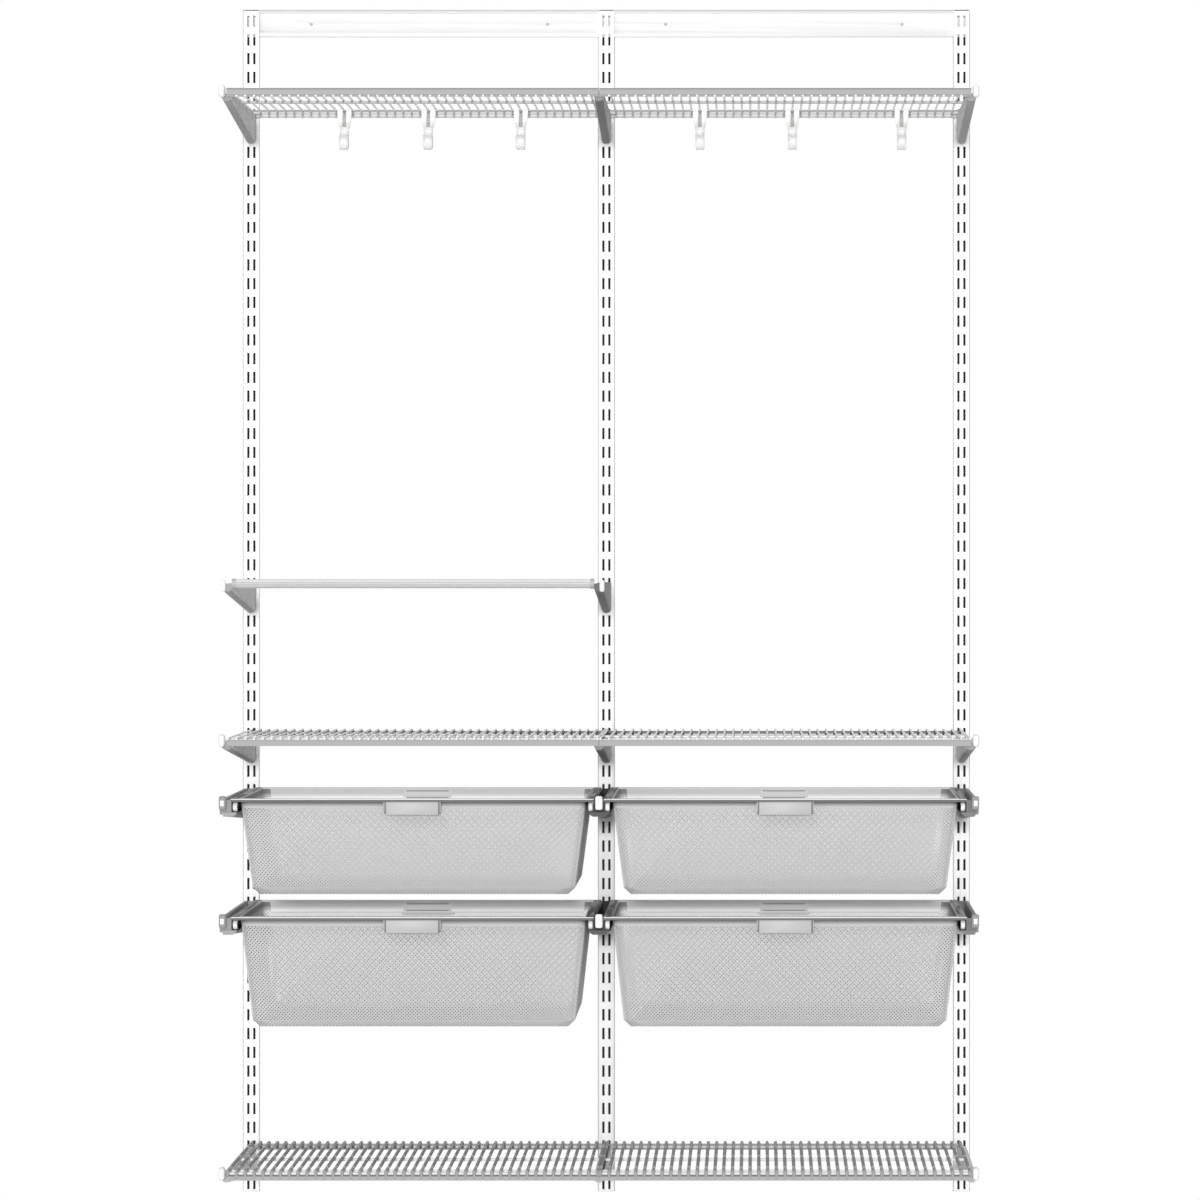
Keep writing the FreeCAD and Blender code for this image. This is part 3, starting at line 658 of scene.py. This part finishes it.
CHANNEL_SHEET = 1.8
CHANNEL_HEEL = 9.0
CHANNEL_STATIONS = (0.0, 0.2, 0.8, 1.8, 3.2, 5.2, 7.4)
CHANNEL_ROUND = 6.6
ARM_ROUND = 7.4
EDGE_ROUND = 0.4
FACE_MARGIN = 0.00005  # how near the standards' front face a point still lies in it, in metres
LID_DROPS = (1.4, 0.3)  # of its under and upper side, below the bracket's top


def channel_outline(node):
    """A bracket's span along X, its top, its length, and how high its lower line is at the wall and at its tip."""
    x, d, z = box_mm(node)
    places = [in_mm(vert.co) for vert in frame["nodes"][node].data.vertices]
    side = [place[1:] for place in places if place[0] < x[0] + HAIR]
    tip = min(height for out, height in side if out > d[1] - HAIR)
    out, height = max(point for point in side if point[0] < d[1] - 1)
    rise = (tip - height) / (d[1] - out)
    return x, z[1], d[1], height - out * rise, tip


def channel_section(half, low, top, radius, sheet, steps=5):
    """The U of a channel's outer face, or of its inner one where the sheet is taken off."""
    points = [(-half + sheet, top)]
    for centre, start in ((radius - half, 2), (half - radius, 3)):
        points += arc(centre, low + radius, radius - sheet, start, steps)
    points.append((half - sheet, top))
    return points


def add_frame_hooks(data, node):
    """Adds the frame's own hooks, which are all that a bracket has behind the standard's face."""
    work = bmesh.new()
    work.from_mesh(frame["nodes"][node].data)
    face = -STANDARD_DEPTH * MM
    bmesh.ops.delete(work, geom=[v for v in work.verts if v.co.y < face - FACE_MARGIN], context="VERTS")
    flat = [f for f in work.faces if all(v.co.y < face + FACE_MARGIN for v in f.verts)]
    bmesh.ops.delete(work, geom=flat, context="FACES")
    work.from_mesh(data)
    work.to_mesh(data)
    work.free()


# Each kind of place takes its own copy of the powder coat, in painted light and shade
def bracket_finish(node):
    if node.startswith("bottom"):
        return "low_bracket"
    if "drawer" in node:
        return node.split("_")[-1] + "_arm"
    if node.endswith("_mid"):
        return "mid_rod_bracket" if node.startswith("rod") else "mid_bracket"
    return "bracket_steel"


def make_channel(node, radius):
    """A folded channel with a round underside and closed ends, open along its top."""
    x, top, length, heel, tip = channel_outline(node)
    middle = middle_of(x)
    half = half_of(x)
    rise = (tip - heel) / length
    slant = math.sqrt(1 + rise * rise)
    turn_end = CHANNEL_HEEL * (1 + rise / slant)
    turn_height = heel + CHANNEL_HEEL * (rise + slant)

    def low_at(out):
        if out >= turn_end:
            return heel + rise * out
        return turn_height - math.sqrt(CHANNEL_HEEL ** 2 - (CHANNEL_HEEL - out) ** 2)

    def section(out, sheet):
        return [Vector((middle + u, out, v)) for u, v in channel_section(half, low_at(out), top, radius, sheet)]

    shape = Shape()
    stations = CHANNEL_STATIONS + (turn_end, length / 2, length)
    shape.rings([section(out, 0.0) + section(out, CHANNEL_SHEET)[::-1] for out in stations])
    for ends in ((0.0, CHANNEL_SHEET), (length - CHANNEL_SHEET, length)):
        shape.rings([section(out, CHANNEL_SHEET) for out in ends])
    piece = linked(node + ".channel", shape.mesh(node + ".channel"))
    rounded_edges(piece, EDGE_ROUND)
    add_frame_hooks(piece.data, node)
    settle(piece, BODY_OF[node], SLOT_OF[node], node, finish=bracket_finish(node))
    # End brackets get a pale lid across their channel's top, whose pale shade is painted light on the tops
    if "drawer" not in node and not node.endswith("_mid"):
        wide = half - CHANNEL_SHEET
        inside = (middle - wide, middle + wide), (CHANNEL_SHEET, length - CHANNEL_SHEET)
        add_block(node, "lid", *inside, [top - drop for drop in LID_DROPS], "bracket_lid")


for node in frame["nodes"]:
    if "_bracket_" in node and "noses" not in node and "covers" not in node:
        make_channel(node, ARM_ROUND if "drawer" in node else CHANNEL_ROUND)


# Folded and moulded pieces that keep the frame's shape

APRON_DROP = 4.8  # how far the front apron really reaches below the rim's top
APRON_DEPTH = 2.5  # behind the rim's front edge
DRESSINGS = (  # how a node's name starts, how far its edges are rounded, in how many steps, and its own finish
    ("standard_", 0.7, 3, None),
    ("top_track", 0.6, 2, None),
    ("drawer_rim_upper", 0.5, 2, "rim_upper"),
    ("drawer_rim_lower", 0.5, 2, "rim_lower"),
    ("drawer_tracks_", 0.35, 2, None),
    ("drawer_grips_", 0.8, 3, None),
    ("drawer_bracket_covers", 0.9, 3, "cover_plastic"),
)


def shorter_apron(point):
    """Lifts the front apron's lower edge."""
    _, out, height = in_mm(point)
    low = RIM_TOPS["upper" if height > sum(RIM_TOPS.values()) / 2 else "lower"] - APRON_DROP
    if out > RIM_FRONT - APRON_DEPTH and height < low:
        point.z = low * MM


for node in frame["nodes"]:
    for start, edge, segments, finish in DRESSINGS:
        if node.startswith(start):
            dressed(node, edge, segments, finish, shorter_apron if "rim" in start else None)


# Noses

NOSE_LEVEL_SHARES = ((0.0, 0.0), (0.55, 0.0), (0.8, 0.1), (0.94, 0.3), (1.0, 0.62))  # of thickness, of half width


def rounded_outline(x, z, inset, share, steps=4):
    """An upright outline whose corners have a share of its half width as their radius, drawn in by an inset."""
    radius = (half_of(x) - inset) * share
    (left, right), (low, high) = [(span[0] + inset + radius, span[1] - inset - radius) for span in (x, z)]
    points = []
    for u, v, quarter in ((right, high, 0), (left, high, 1), (left, low, 2), (right, low, 3)):
        points += arc(u, v, radius, quarter, steps)
    return points


def add_nose(shape, x, d, z, share):
    """A moulded end cap, domed at its front."""
    rings = []
    for along, inward in NOSE_LEVEL_SHARES:
        out = d[0] + along * (d[1] - d[0])
        rings.append([Vector((u, out, v)) for u, v in rounded_outline(x, z, inward * half_of(x), share)])
    shape.rings(rings)


def loose_solids(node):
    """The boxes of a node's separate solids, in millimetres."""
    work = bmesh.new()
    work.from_mesh(frame["nodes"][node].data)
    bmesh.ops.remove_doubles(work, verts=work.verts, dist=SAME_PLACE)
    seen = set()
    boxes = []
    for start in work.verts:
        if start in seen:
            continue
        group = [start]
        seen.add(start)
        for vert in group:
            for edge in vert.link_edges:
                other = edge.other_vert(vert)
                if other not in seen:
                    seen.add(other)
                    group.append(other)
        boxes.append(spans([vert.co for vert in group]))
    work.free()
    return boxes


for node, share, finish in (
    ("shelf_bracket_noses", 0.98, "nose_plastic"), ("rod_bracket_noses", 0.98, "nose_plastic"),
    ("drawer_bracket_noses", 0.55, "drawer_nose"),
):
    noses = Shape()
    for solid in loose_solids(node):
        add_nose(noses, *solid, share)
    add_piece(node, "moulded", noses, node, finish=finish)


FOOT_OUTLINE = ((-1, -22.6), (-0.94, -25.0), (-0.6, -29.6), (0.6, -29.6), (0.94, -25.0), (1, -22.6))  # side, drop
FOOT_HALF_WIDTH = 17.3
FOOT_OUTER_WIDTH = 8.0
FOOT_SHEET = 1.4

for name, middle in STANDARDS.items():
    feet = Shape()
    left, right = [FOOT_OUTER_WIDTH if name == side else FOOT_HALF_WIDTH for side in BAYS]
    for level, rim in RIM_TOPS.items():
        tip = box_mm(level + "_drawer_bracket_" + name)[1][1]
        outline = [(middle + u * (left if u < 0 else right), rim + v) for u, v in FOOT_OUTLINE]
        feet.plate(outline, (tip, tip + FOOT_SHEET))
    # Each standard's feet take their own copy of the powder coat, in painted shade
    new_piece(
        "drawer_bracket_feet_" + name, feet, "wall_frame", "bracket_steel", edge=EDGE_ROUND, finish=name + "_foot"
    )


# Closet rod, its cups, and the rollers

CUP_RADIUS = ROD_RADIUS + 0.75
CUP_BORE = ROD_RADIUS + 0.15
CUP_EDGE = 0.2
CUP_PROFILE = (  # shares of the span from the bracket, and radii
    (0.0, CUP_RADIUS), (0.85, CUP_RADIUS), (0.97, CUP_RADIUS - CUP_EDGE),
    (1.0, CUP_BORE + CUP_EDGE), (0.95, CUP_BORE), (0.35, CUP_BORE),
)
ROLLER_PROFILE = (  # a hub, a dished web and a rounded tread: shares of the width, and radii
    (0.0, 2.6), (0.0, 4.2), (0.1, 4.6), (0.1, 6.4), (0.0, 6.8), (0.0, 7.2), (0.1, 7.75),
    (0.9, 7.75), (1.0, 7.2), (1.0, 6.8), (0.9, 6.4), (0.9, 4.6), (1.0, 4.2), (1.0, 2.6),
)


def turned(shape, x, centre, profile, sides, closed=False):
    """A turned form on an axis along X."""
    rings = []
    for share, radius in profile:
        place = x[0] + share * (x[1] - x[0])
        rings.append([Vector((place, centre[0] + u, centre[1] + v)) for u, v in circle(radius, sides)])
    shape.rings(rings, closed)


rod = Shape()
turned(rod, ROD_X, ROD_CENTRE, ((0.0, ROD_RADIUS), (1.0, ROD_RADIUS)), 48)
add_piece("closet_rod", "tube", rod, "closet_rod")

cups = Shape()
for x, _, _ in loose_solids("rod_cups"):
    turned(cups, x[::-1] if x[0] > -BAY_WIDTH / 2 else x, ROD_CENTRE, CUP_PROFILE, 40)
add_piece("rod_cups", "moulded", cups, "rod_cups", finish="cup_plastic")

for level, side in DRAWER_PLACES:
    for which in ("front", "rear"):
        node = "%s_rollers_%s_%s" % (which, level, side)
        rollers = Shape()
        for x, d, z in loose_solids(node):
            turned(rollers, x, (middle_of(d), middle_of(z)), ROLLER_PROFILE, 32, closed=True)
        add_piece(node, "moulded", rollers, node)


# Coat hooks

HOOK_WIDTH = 24.0
HOOK_TIP_WIDTH = 15.6
HOOK_TIP_ROUND = 7.0
HOOK_TIP_HEIGHT = 24.0
HOOK_WALL = 3.2
HOOK_GAP = 0.3  # in front of the shelf's rear wires
HOOK_GROOVE = 6.0
HOOK_GROOVE_DEPTH = 30.0
HOOK_NECK = (10.0, 30.0)  # how far down it starts to narrow, and over how much
HOOK_STEP = 5.0
HOOK_EDGE = 0.7
HOOK_RISE = 2.0  # how far past the middle the tongue has its full narrowness
CLIP_THICKNESS = 2.4  # of the first stations, which lie over the wire
CLIP_STATIONS = 8
CLIP_BACK = 1.2
CLIP_DROP = 1.3
CLIP_LENGTH = 11.0
CLIP_BEND = 2.4
WEB_SHEET = 1.0
WEB_TOP = 6.0
WEB_LAP = 0.5


def hook_path(d, z):
    """The middle line of a coat hook from behind the shelf's rear wire, over it, down, out and up."""
    half = HOOK_WALL / 2
    wire_front = CROSS_WIRE + LONG_WIRE + HOOK_GAP
    spine = wire_front + half
    back = d[0] + CLIP_BACK
    front = d[1] - half
    corners = [Vector((0, out, height)) for out, height in (
        (back, z[1] - CLIP_LENGTH), (back, z[1] - CLIP_DROP), (spine, z[1] - CLIP_DROP),
        (spine, z[0] + half), (front, z[0] + half), (front, z[0] + HOOK_TIP_HEIGHT),
    )]
    curl = bent(corners[2:], (d[1] - wire_front) / 2 - half - HAIR, 10)
    return bent(corners[:4], CLIP_BEND)[:-1] + curl[1:]


def add_coat_hook(shape, x, d, z):
    """Two prongs that join below a groove into a tongue, which narrows and curls up."""
    path = hook_path(d, z)
    stations = []
    for a, b in zip(path, path[1:]):
        parts = max(1, round((b - a).length / HOOK_STEP))
        stations += [a.lerp(b, i / parts) for i in range(parts)]
    stations.append(path[-1])
    rings = []
    total = len(stations)
    for i, point in enumerate(stations):
        ahead = (stations[min(i + 1, total - 1)] - stations[max(i - 1, 0)]).normalized()
        out = Vector((1, 0, 0)).cross(ahead)
        drop = z[1] - point.z
        past_bend = point.y > middle_of(d) + HOOK_RISE
        share = 1.0 if past_bend else min(max((drop - HOOK_NECK[0]) / HOOK_NECK[1], 0.0), 1.0)
        width = HOOK_WIDTH + (HOOK_TIP_WIDTH - HOOK_WIDTH) * share * share * (3 - 2 * share)
        lift = min((point.z - z[0]) / HOOK_TIP_ROUND, 1.0)
        width *= 0.5 + 0.5 * math.sqrt(1 - (1 - lift) ** 2)
        thickness = HOOK_WALL if i > CLIP_STATIONS else CLIP_THICKNESS
        split = drop < HOOK_GROOVE_DEPTH and not past_bend
        rings.append((point, out * thickness / 2, width / 2, split))
    lanes = ((-1, -HOOK_GROOVE / 2), (-HOOK_GROOVE / 2, HOOK_GROOVE / 2), (HOOK_GROOVE / 2, 1))
    index = {}

    def corner(i, lane_edge, face):
        key = (i, lane_edge, face)
        if key not in index:
            point, out, half, _ = rings[i]
            u = lane_edge * half if abs(lane_edge) == 1 else lane_edge
            index[key] = len(shape.points)
            shape.points.append(Vector((middle_of(x) + u, 0, 0)) + point + out * face)
        return index[key]

    def add_face(*corners):
        shape.faces.append(tuple(corner(*key) for key in corners))

    def close_end(i, near, far):
        add_face((i, near, -1), (i, far, -1), (i, far, 1), (i, near, 1))

    for i in range(total - 1):
        split = rings[i][3]
        for lane, (near, far) in enumerate(lanes):
            if split and lane == 1:
                continue
            for face in (-1, 1):
                add_face((i, near, face), (i, far, face), (i + 1, far, face), (i + 1, near, face))
            for edge, outer in ((near, 0), (far, 2)):
                if split or lane == outer:
                    add_face((i, edge, -1), (i, edge, 1), (i + 1, edge, 1), (i + 1, edge, -1))
            if i == 0 or (lane == 1 and rings[i - 1][3]):
                close_end(i, near, far)
            if i == total - 2:
                close_end(i + 1, near, far)


for side in BAYS:
    node = "coat_hooks_" + side
    hooks, webs = Shape(), Shape()
    for x, d, z in loose_solids(node):
        add_coat_hook(hooks, x, d, z)
        # The sunk web that closes the groove between a hook's prongs, in a darker shade that is painted shade
        middle = middle_of(x)
        half = HOOK_GROOVE / 2 + HOOK_GAP
        back = CROSS_WIRE + LONG_WIRE + WEB_LAP
        heights = z[1] - HOOK_GROOVE_DEPTH - WEB_LAP, z[1] - WEB_TOP
        webs.block((middle - half, middle + half), (back, back + WEB_SHEET), heights)
    add_piece(node, "moulded", hooks, node, edge=HOOK_EDGE)
    add_piece(node, "webs", webs, finish="hook_groove")


# Mesh baskets

MESH_PITCH = 6.0
MESH_STRAND = 2.2
MESH_SHEET = 0.6
REAR_MESH_SHARE = 0.7  # how much finer the mesh of the rear wall is
STOP_GAP = 0.15  # how near a strand's stops are to a corner line of the wall, on each side of it
LEAST_STRAND = 2.0
LEAST_FLOOR_STRAND = 1.0
FLOOR_INSET = 2.0
REAR_INSET = 0.1  # of the rear wall's mesh, at each end
ROUNDING = 0.000001
BASKET_KNEE = 11.0
BASKET_TAPER = 18.5
BASKET_END_TAPER = 9.0
CORNER_STEPS = 4
REAR_MARKS = slice(2 * CORNER_STEPS + 1, 2 * CORNER_STEPS + 3)  # where the rear wall starts and ends
BASKET_LEVELS = (  # inset at the sides, inset at the ends and corner radius, at the top, the knee and the floor
    (0.0, 0.0, 14.0),
    (BASKET_TAPER, BASKET_END_TAPER, 13.0),
    (BASKET_TAPER + BASKET_KNEE, BASKET_END_TAPER + BASKET_KNEE, 8.0),
)


def basket_loop(x, d, z, side_in, end_in, radius):
    """A level line round the wall, from corner to corner, each of them an arc."""
    left, right = x[0] + side_in + radius, x[1] - side_in - radius
    rear, front = d[0] + end_in + radius, d[1] - end_in - radius
    points = []
    for u, v, quarter in ((right, front, 1), (right, rear, 0), (left, rear, -1), (left, front, -2)):
        points += [Vector((*place, z)) for place in arc(u, v, radius, quarter, CORNER_STEPS, -1)]
    return points


class BasketWall:
    """The tapered wall of a basket, with a place for each distance round it and drop down it."""

    def __init__(self, x, d, z):
        heights = (z[1], z[0] + BASKET_KNEE, z[0])
        self.loops = [basket_loop(x, d, height, *level) for height, level in zip(heights, BASKET_LEVELS)]
        top = self.loops[0]
        self.breaks = [0.0]
        for a, b in zip(top, top[1:] + top[:1]):
            self.breaks.append(self.breaks[-1] + (b - a).length)
        self.length = self.breaks[-1]
        wall = (self.loops[1][0] - self.loops[0][0]).length
        knee = (self.loops[2][0] - self.loops[1][0]).length
        self.drops = (0.0, wall, wall + knee)

    def place(self, round_it, drop):
        """The point there, and the way that the wall faces."""
        round_it %= self.length
        i = max(k for k, start in enumerate(self.breaks[:-1]) if start <= round_it + ROUNDING)
        share = (round_it - self.breaks[i]) / (self.breaks[i + 1] - self.breaks[i])
        band = 0 if drop <= self.drops[1] + ROUNDING else 1
        down = (drop - self.drops[band]) / (self.drops[band + 1] - self.drops[band])
        j = (i + 1) % len(self.loops[0])
        upper = self.loops[band][i].lerp(self.loops[band][j], share)
        lower = self.loops[band + 1][i].lerp(self.loops[band + 1][j], share)
        along = self.loops[band][j] - self.loops[band][i]
        outward = along.cross(lower - upper).normalized()
        return upper.lerp(lower, down), outward

    def strand(self, start, lean, span):
        """A strand's path down the wall within a span round it, with stops wherever the wall turns."""
        first, last = sorted((edge - start) / lean for edge in span)
        first, last = max(first, 0.0), min(last, self.drops[2])
        if last - first < LEAST_STRAND:
            return [], []
        stops = {first, last} | {drop for drop in self.drops if first < drop < last}
        low, high = sorted((start + lean * first, start + lean * last))
        for turn in range(-1, 2):
            for mark in self.breaks[:-1]:
                where = mark + turn * self.length
                if low < where < high:
                    drop = (where - start) / lean
                    stops |= {max(drop - STOP_GAP, first), min(drop + STOP_GAP, last)}
        path, outward = [], []
        for drop in sorted(stops):
            point, out = self.place(start + lean * drop, drop)
            if path and (point - path[-1]).length < STOP_GAP:
                continue
            path.append(point)
            outward.append(out)
        return path, outward


def clipped(point, heading, low, high):
    """The stretch of a line that lies inside a rectangle."""
    start, end = -math.inf, math.inf
    for k in range(2):
        a = (low[k] - point[k]) / heading[k]
        b = (high[k] - point[k]) / heading[k]
        start = max(start, min(a, b))
        end = min(end, max(a, b))
    return (start, end) if end - start > LEAST_FLOOR_STRAND else None


BAND_DROP = 14.0
REAR_BAND_DROP = 17.0
REAR_BAND_INSET = 0.6  # behind the band's place in the wall
BAND_FACES = (0.35, -0.9)  # of the band, out from the wall's middle
BEAD_RADIUS = 1.1
GRIP_CORNER_SHARE = 0.012
GRIP_PLATES = (  # part and finish, thickness, and the half width and drops of each plate
    ("grip_plate", 0.9, ((41.0, 1.6, 15.6),)),
    # Dark lines along the grip's upper and lower edges are painted shade
    ("grip_lines", 1.2, ((36.0, 2.4, 4.0), (36.0, 13.4, 15.0))),
)


def band_ring(wall, mark, near, drop, inset):
    """A band's section at a place round the wall: its upper edge is taken near the place, its lower one at it."""
    upper, outward = wall.place(mark + near, 0.0)
    lower, _ = wall.place(mark, drop)
    out, back = [outward * (face - inset) for face in BAND_FACES]
    return [upper + out, lower + out, lower + back, upper + back]


def make_basket(level, side):
    """A basket of crossing flat strands, with bands round its top, a bead at the rear and an inner grip plate."""
    node = "drawer_basket_%s_%s" % (level, side)
    x, d, z = box_mm(node)
    wall = BasketWall(x, d, z)
    rear_marks = wall.breaks[REAR_MARKS]
    shape = Shape()
    half = MESH_STRAND / 2
    thin = MESH_SHEET / 2
    section = [(-thin, -half), (thin, -half), (thin, half), (-thin, half)]
    rear_span = rear_marks[0] + REAR_INSET, rear_marks[1] - REAR_INSET
    rest_span = rear_span[1] - wall.length, rear_span[0]
    for span, share in ((rest_span, 1.0), (rear_span, REAR_MESH_SHARE)):
        pitch = MESH_PITCH * share
        start = span[0] - wall.drops[2]
        count = int((span[1] + wall.drops[2] - start) / pitch)
        for lean, lift in ((1.0, -thin), (-1.0, 0.0)):
            for k in range(count):
                path, outward = wall.strand(start + k * pitch, lean, span)
                if path:
                    path = [point + out * lift for point, out in zip(path, outward)]
                    shape.tube(path, [(u, v * share) for u, v in section], outward)
    floor = wall.loops[2]
    ends = (min, FLOOR_INSET), (max, -FLOOR_INSET)
    low, high = [[pick(p[k] for p in floor) + inset for k in range(2)] for pick, inset in ends]
    for lean, height in ((1.0, z[0] + thin), (-1.0, z[0] + thin + MESH_SHEET)):
        for k in range(int((high[0] - low[0] + high[1] - low[1]) / MESH_PITCH) + 1):
            u = k * MESH_PITCH
            start = (low[0] + u, low[1]) if lean < 0 else (high[0] - u, low[1])
            reach = clipped(start, (lean, 1.0), low, high)
            if reach:
                ends = [Vector((start[0] + lean * t, start[1] + t, height)) for t in reach]
                shape.tube(ends, section, Vector((0, 0, 1)))
    add_piece(node, "mesh", shape, node)
    band, rear, bead = Shape(), Shape(), Shape()
    band.rings([band_ring(wall, mark, 0.0, BAND_DROP, 0.0) for mark in wall.breaks[:-1]], closed=True)
    rings = [
        band_ring(wall, mark, near, REAR_BAND_DROP, REAR_BAND_INSET) for mark, near in zip(rear_marks, (HAIR, -HAIR))
    ]
    rear.rings(rings)
    bead.tube([ring[2] for ring in rings], circle(BEAD_RADIUS, 10), Vector((0, 1, 0)))
    add_piece(node, "band", band, finish="band_" + level)
    add_piece(node, "rear_band", rear, finish="rear_band_" + level)
    add_piece(node, "bead", bead, finish="bead")
    middle = middle_of(x)
    inner = d[0] - BAND_FACES[1] + REAR_BAND_INSET
    for part, thickness, sizes in GRIP_PLATES:
        plates = Shape()
        for reach, high, low in sizes:
            across = middle - reach, middle + reach
            outline = rounded_outline(across, (z[1] - low, z[1] - high), 0.0, GRIP_CORNER_SHARE)
            plates.plate(outline, (inner, inner + thickness))
        add_piece(node, part, plates, slot="grip_plastic", finish=part)


for level, side in DRAWER_PLACES:
    make_basket(level, side)


# Room, light and camera

EYE = (0.257, -8.517, -0.902)  # where the photo is taken from
NEARER = 8.5 / 8.517  # from the wall to the standards' faces, in that view
HALO = 1.6  # how far the real wall, painted grey as painted shade, shows round the standards and the track, in millimetres
DARK_INSET = 0.6  # how far inside the standards' edges the painted shade behind their slots ends
WALL_SOFTNESS = 0.00005
ROOM_HALF_WIDTH = 6
FLOOR_Z = -2.06
WALL_Y = 0.0005


def stage_plane(name, near, far, material):
    """A plane as wide as the room, between two lines along X that are given by their Y and Z."""
    data = bpy.data.meshes.new(name)
    corners = [(-ROOM_HALF_WIDTH, *near), (ROOM_HALF_WIDTH, *near), (ROOM_HALF_WIDTH, *far), (-ROOM_HALF_WIDTH, *far)]
    data.from_pydata(corners, [], [(0, 1, 2, 3)])
    data.materials.append(material)
    plane = linked(name, data)


def floor_finish():
    finish = Finish("pale floor")
    return finish.surface(finish.shades(finish.noise(1.5), grey(0.93), grey(0.96)), 0.7)


def wall_finish():
    """Plain white, but for what lies behind the standards and the track and just round them, which is a lit wall in
    painted shade: grey just round them, and near black behind the standards' slots.

    From behind it isn't there, and the room's even light comes through it."""
    finish = Finish("wall")
    x, z = [(finish.along(axis) - eye) * NEARER + eye for axis, eye in (("X", EYE[0]), ("Z", EYE[2]))]
    beside = x.math("PINGPONG", BAY_WIDTH * MM / 2)
    standard_x, _, standard_z = box_mm("standard_mid")
    track_x, _, track_z = box_mm("top_track")
    half_width = half_of(standard_x)

    def short_of(value, edge):
        return 1 - value.above(edge * MM, WALL_SOFTNESS)

    def behind(half, low, high):
        """1 behind something in view that is so wide about the middle, and between two heights."""
        return short_of(abs(x), half + HALO) * z.within(low * MM, (high + HALO) * MM, WALL_SOFTNESS)

    standards = short_of(beside, half_width + HALO) * behind(
        BAY_WIDTH + half_width, standard_z[0] - HALO / 4, standard_z[1]
    )
    plain = (1 - standards) * (1 - behind(track_x[1], track_z[0] - HALO, track_z[1]))
    slot_shade_mask = short_of(beside, half_width - DARK_INSET)
    # Grey round the standards and the track, and near black behind the slots: painted shade
    lit = finish.node("BsdfDiffuse", {"Color": finish.shades(slot_shade_mask, grey(0.5), grey(0.03))})
    white = finish.node("Emission", {"Color": grey(1.0), "Strength": 1.0})
    front = finish.node("MixShader", {0: plain, 1: lit, 2: white})
    in_view = (1 - finish.node("NewGeometry", output="Backfacing")) * finish.seen_direct()
    finish.finish_with(finish.node("MixShader", {0: in_view, 1: finish.node("BsdfTransparent"), 2: front}))
    return finish.material


stage_plane("floor", (-9, FLOOR_Z), (6, FLOOR_Z), floor_finish())
stage_plane("wall", (WALL_Y, FLOOR_Z), (WALL_Y, 3), wall_finish())


def add_light(name, kind, energy, place, target, **sizes):
    data = bpy.data.lights.new(name, kind)
    data.energy = energy
    for size, value in sizes.items():
        setattr(data, size, value)
    holder = linked(name, data)
    holder.location = place
    holder.rotation_euler = (Vector(target) - Vector(place)).to_track_quat("-Z", "Y").to_euler()


add_light("key", "AREA", 48, (-1.8, -4.6, 2.2), (0, -0.2, -0.9), shape="RECTANGLE", size=2.4, size_y=2.4)
add_light("low", "AREA", 9, (0.3, -4.0, -1.9), (0, -0.2, -0.6), shape="RECTANGLE", size=3.0, size_y=0.8)
# A broad light from straight ahead, which reaches the standards between the baskets
add_light("front", "SUN", 0.56 * math.pi, (0, 0, 0), (0, 1, -0.11), angle=0.07)

world = bpy.data.worlds.new("room")
bpy.context.scene.world = world
room = Finish("room", world)
ambient, backdrop = [
    room.node("Background", {"Color": grey(1.0), "Strength": strength}) for strength in (0.5, 1.0)
]
room.finish_with(room.node("MixShader", {0: room.seen_direct(), 1: ambient, 2: backdrop}))

camera_data = bpy.data.cameras.new("camera")
camera_data.lens = 149.4
camera_data.sensor_width = 36.0
camera_data.shift_x = -0.1308
camera_data.shift_y = -0.04
camera = linked("camera", camera_data)
camera.location = EYE
camera.rotation_euler = (math.pi / 2, 0, 0)
bpy.context.scene.camera = camera
bpy.context.scene.view_settings.view_transform = "Standard"
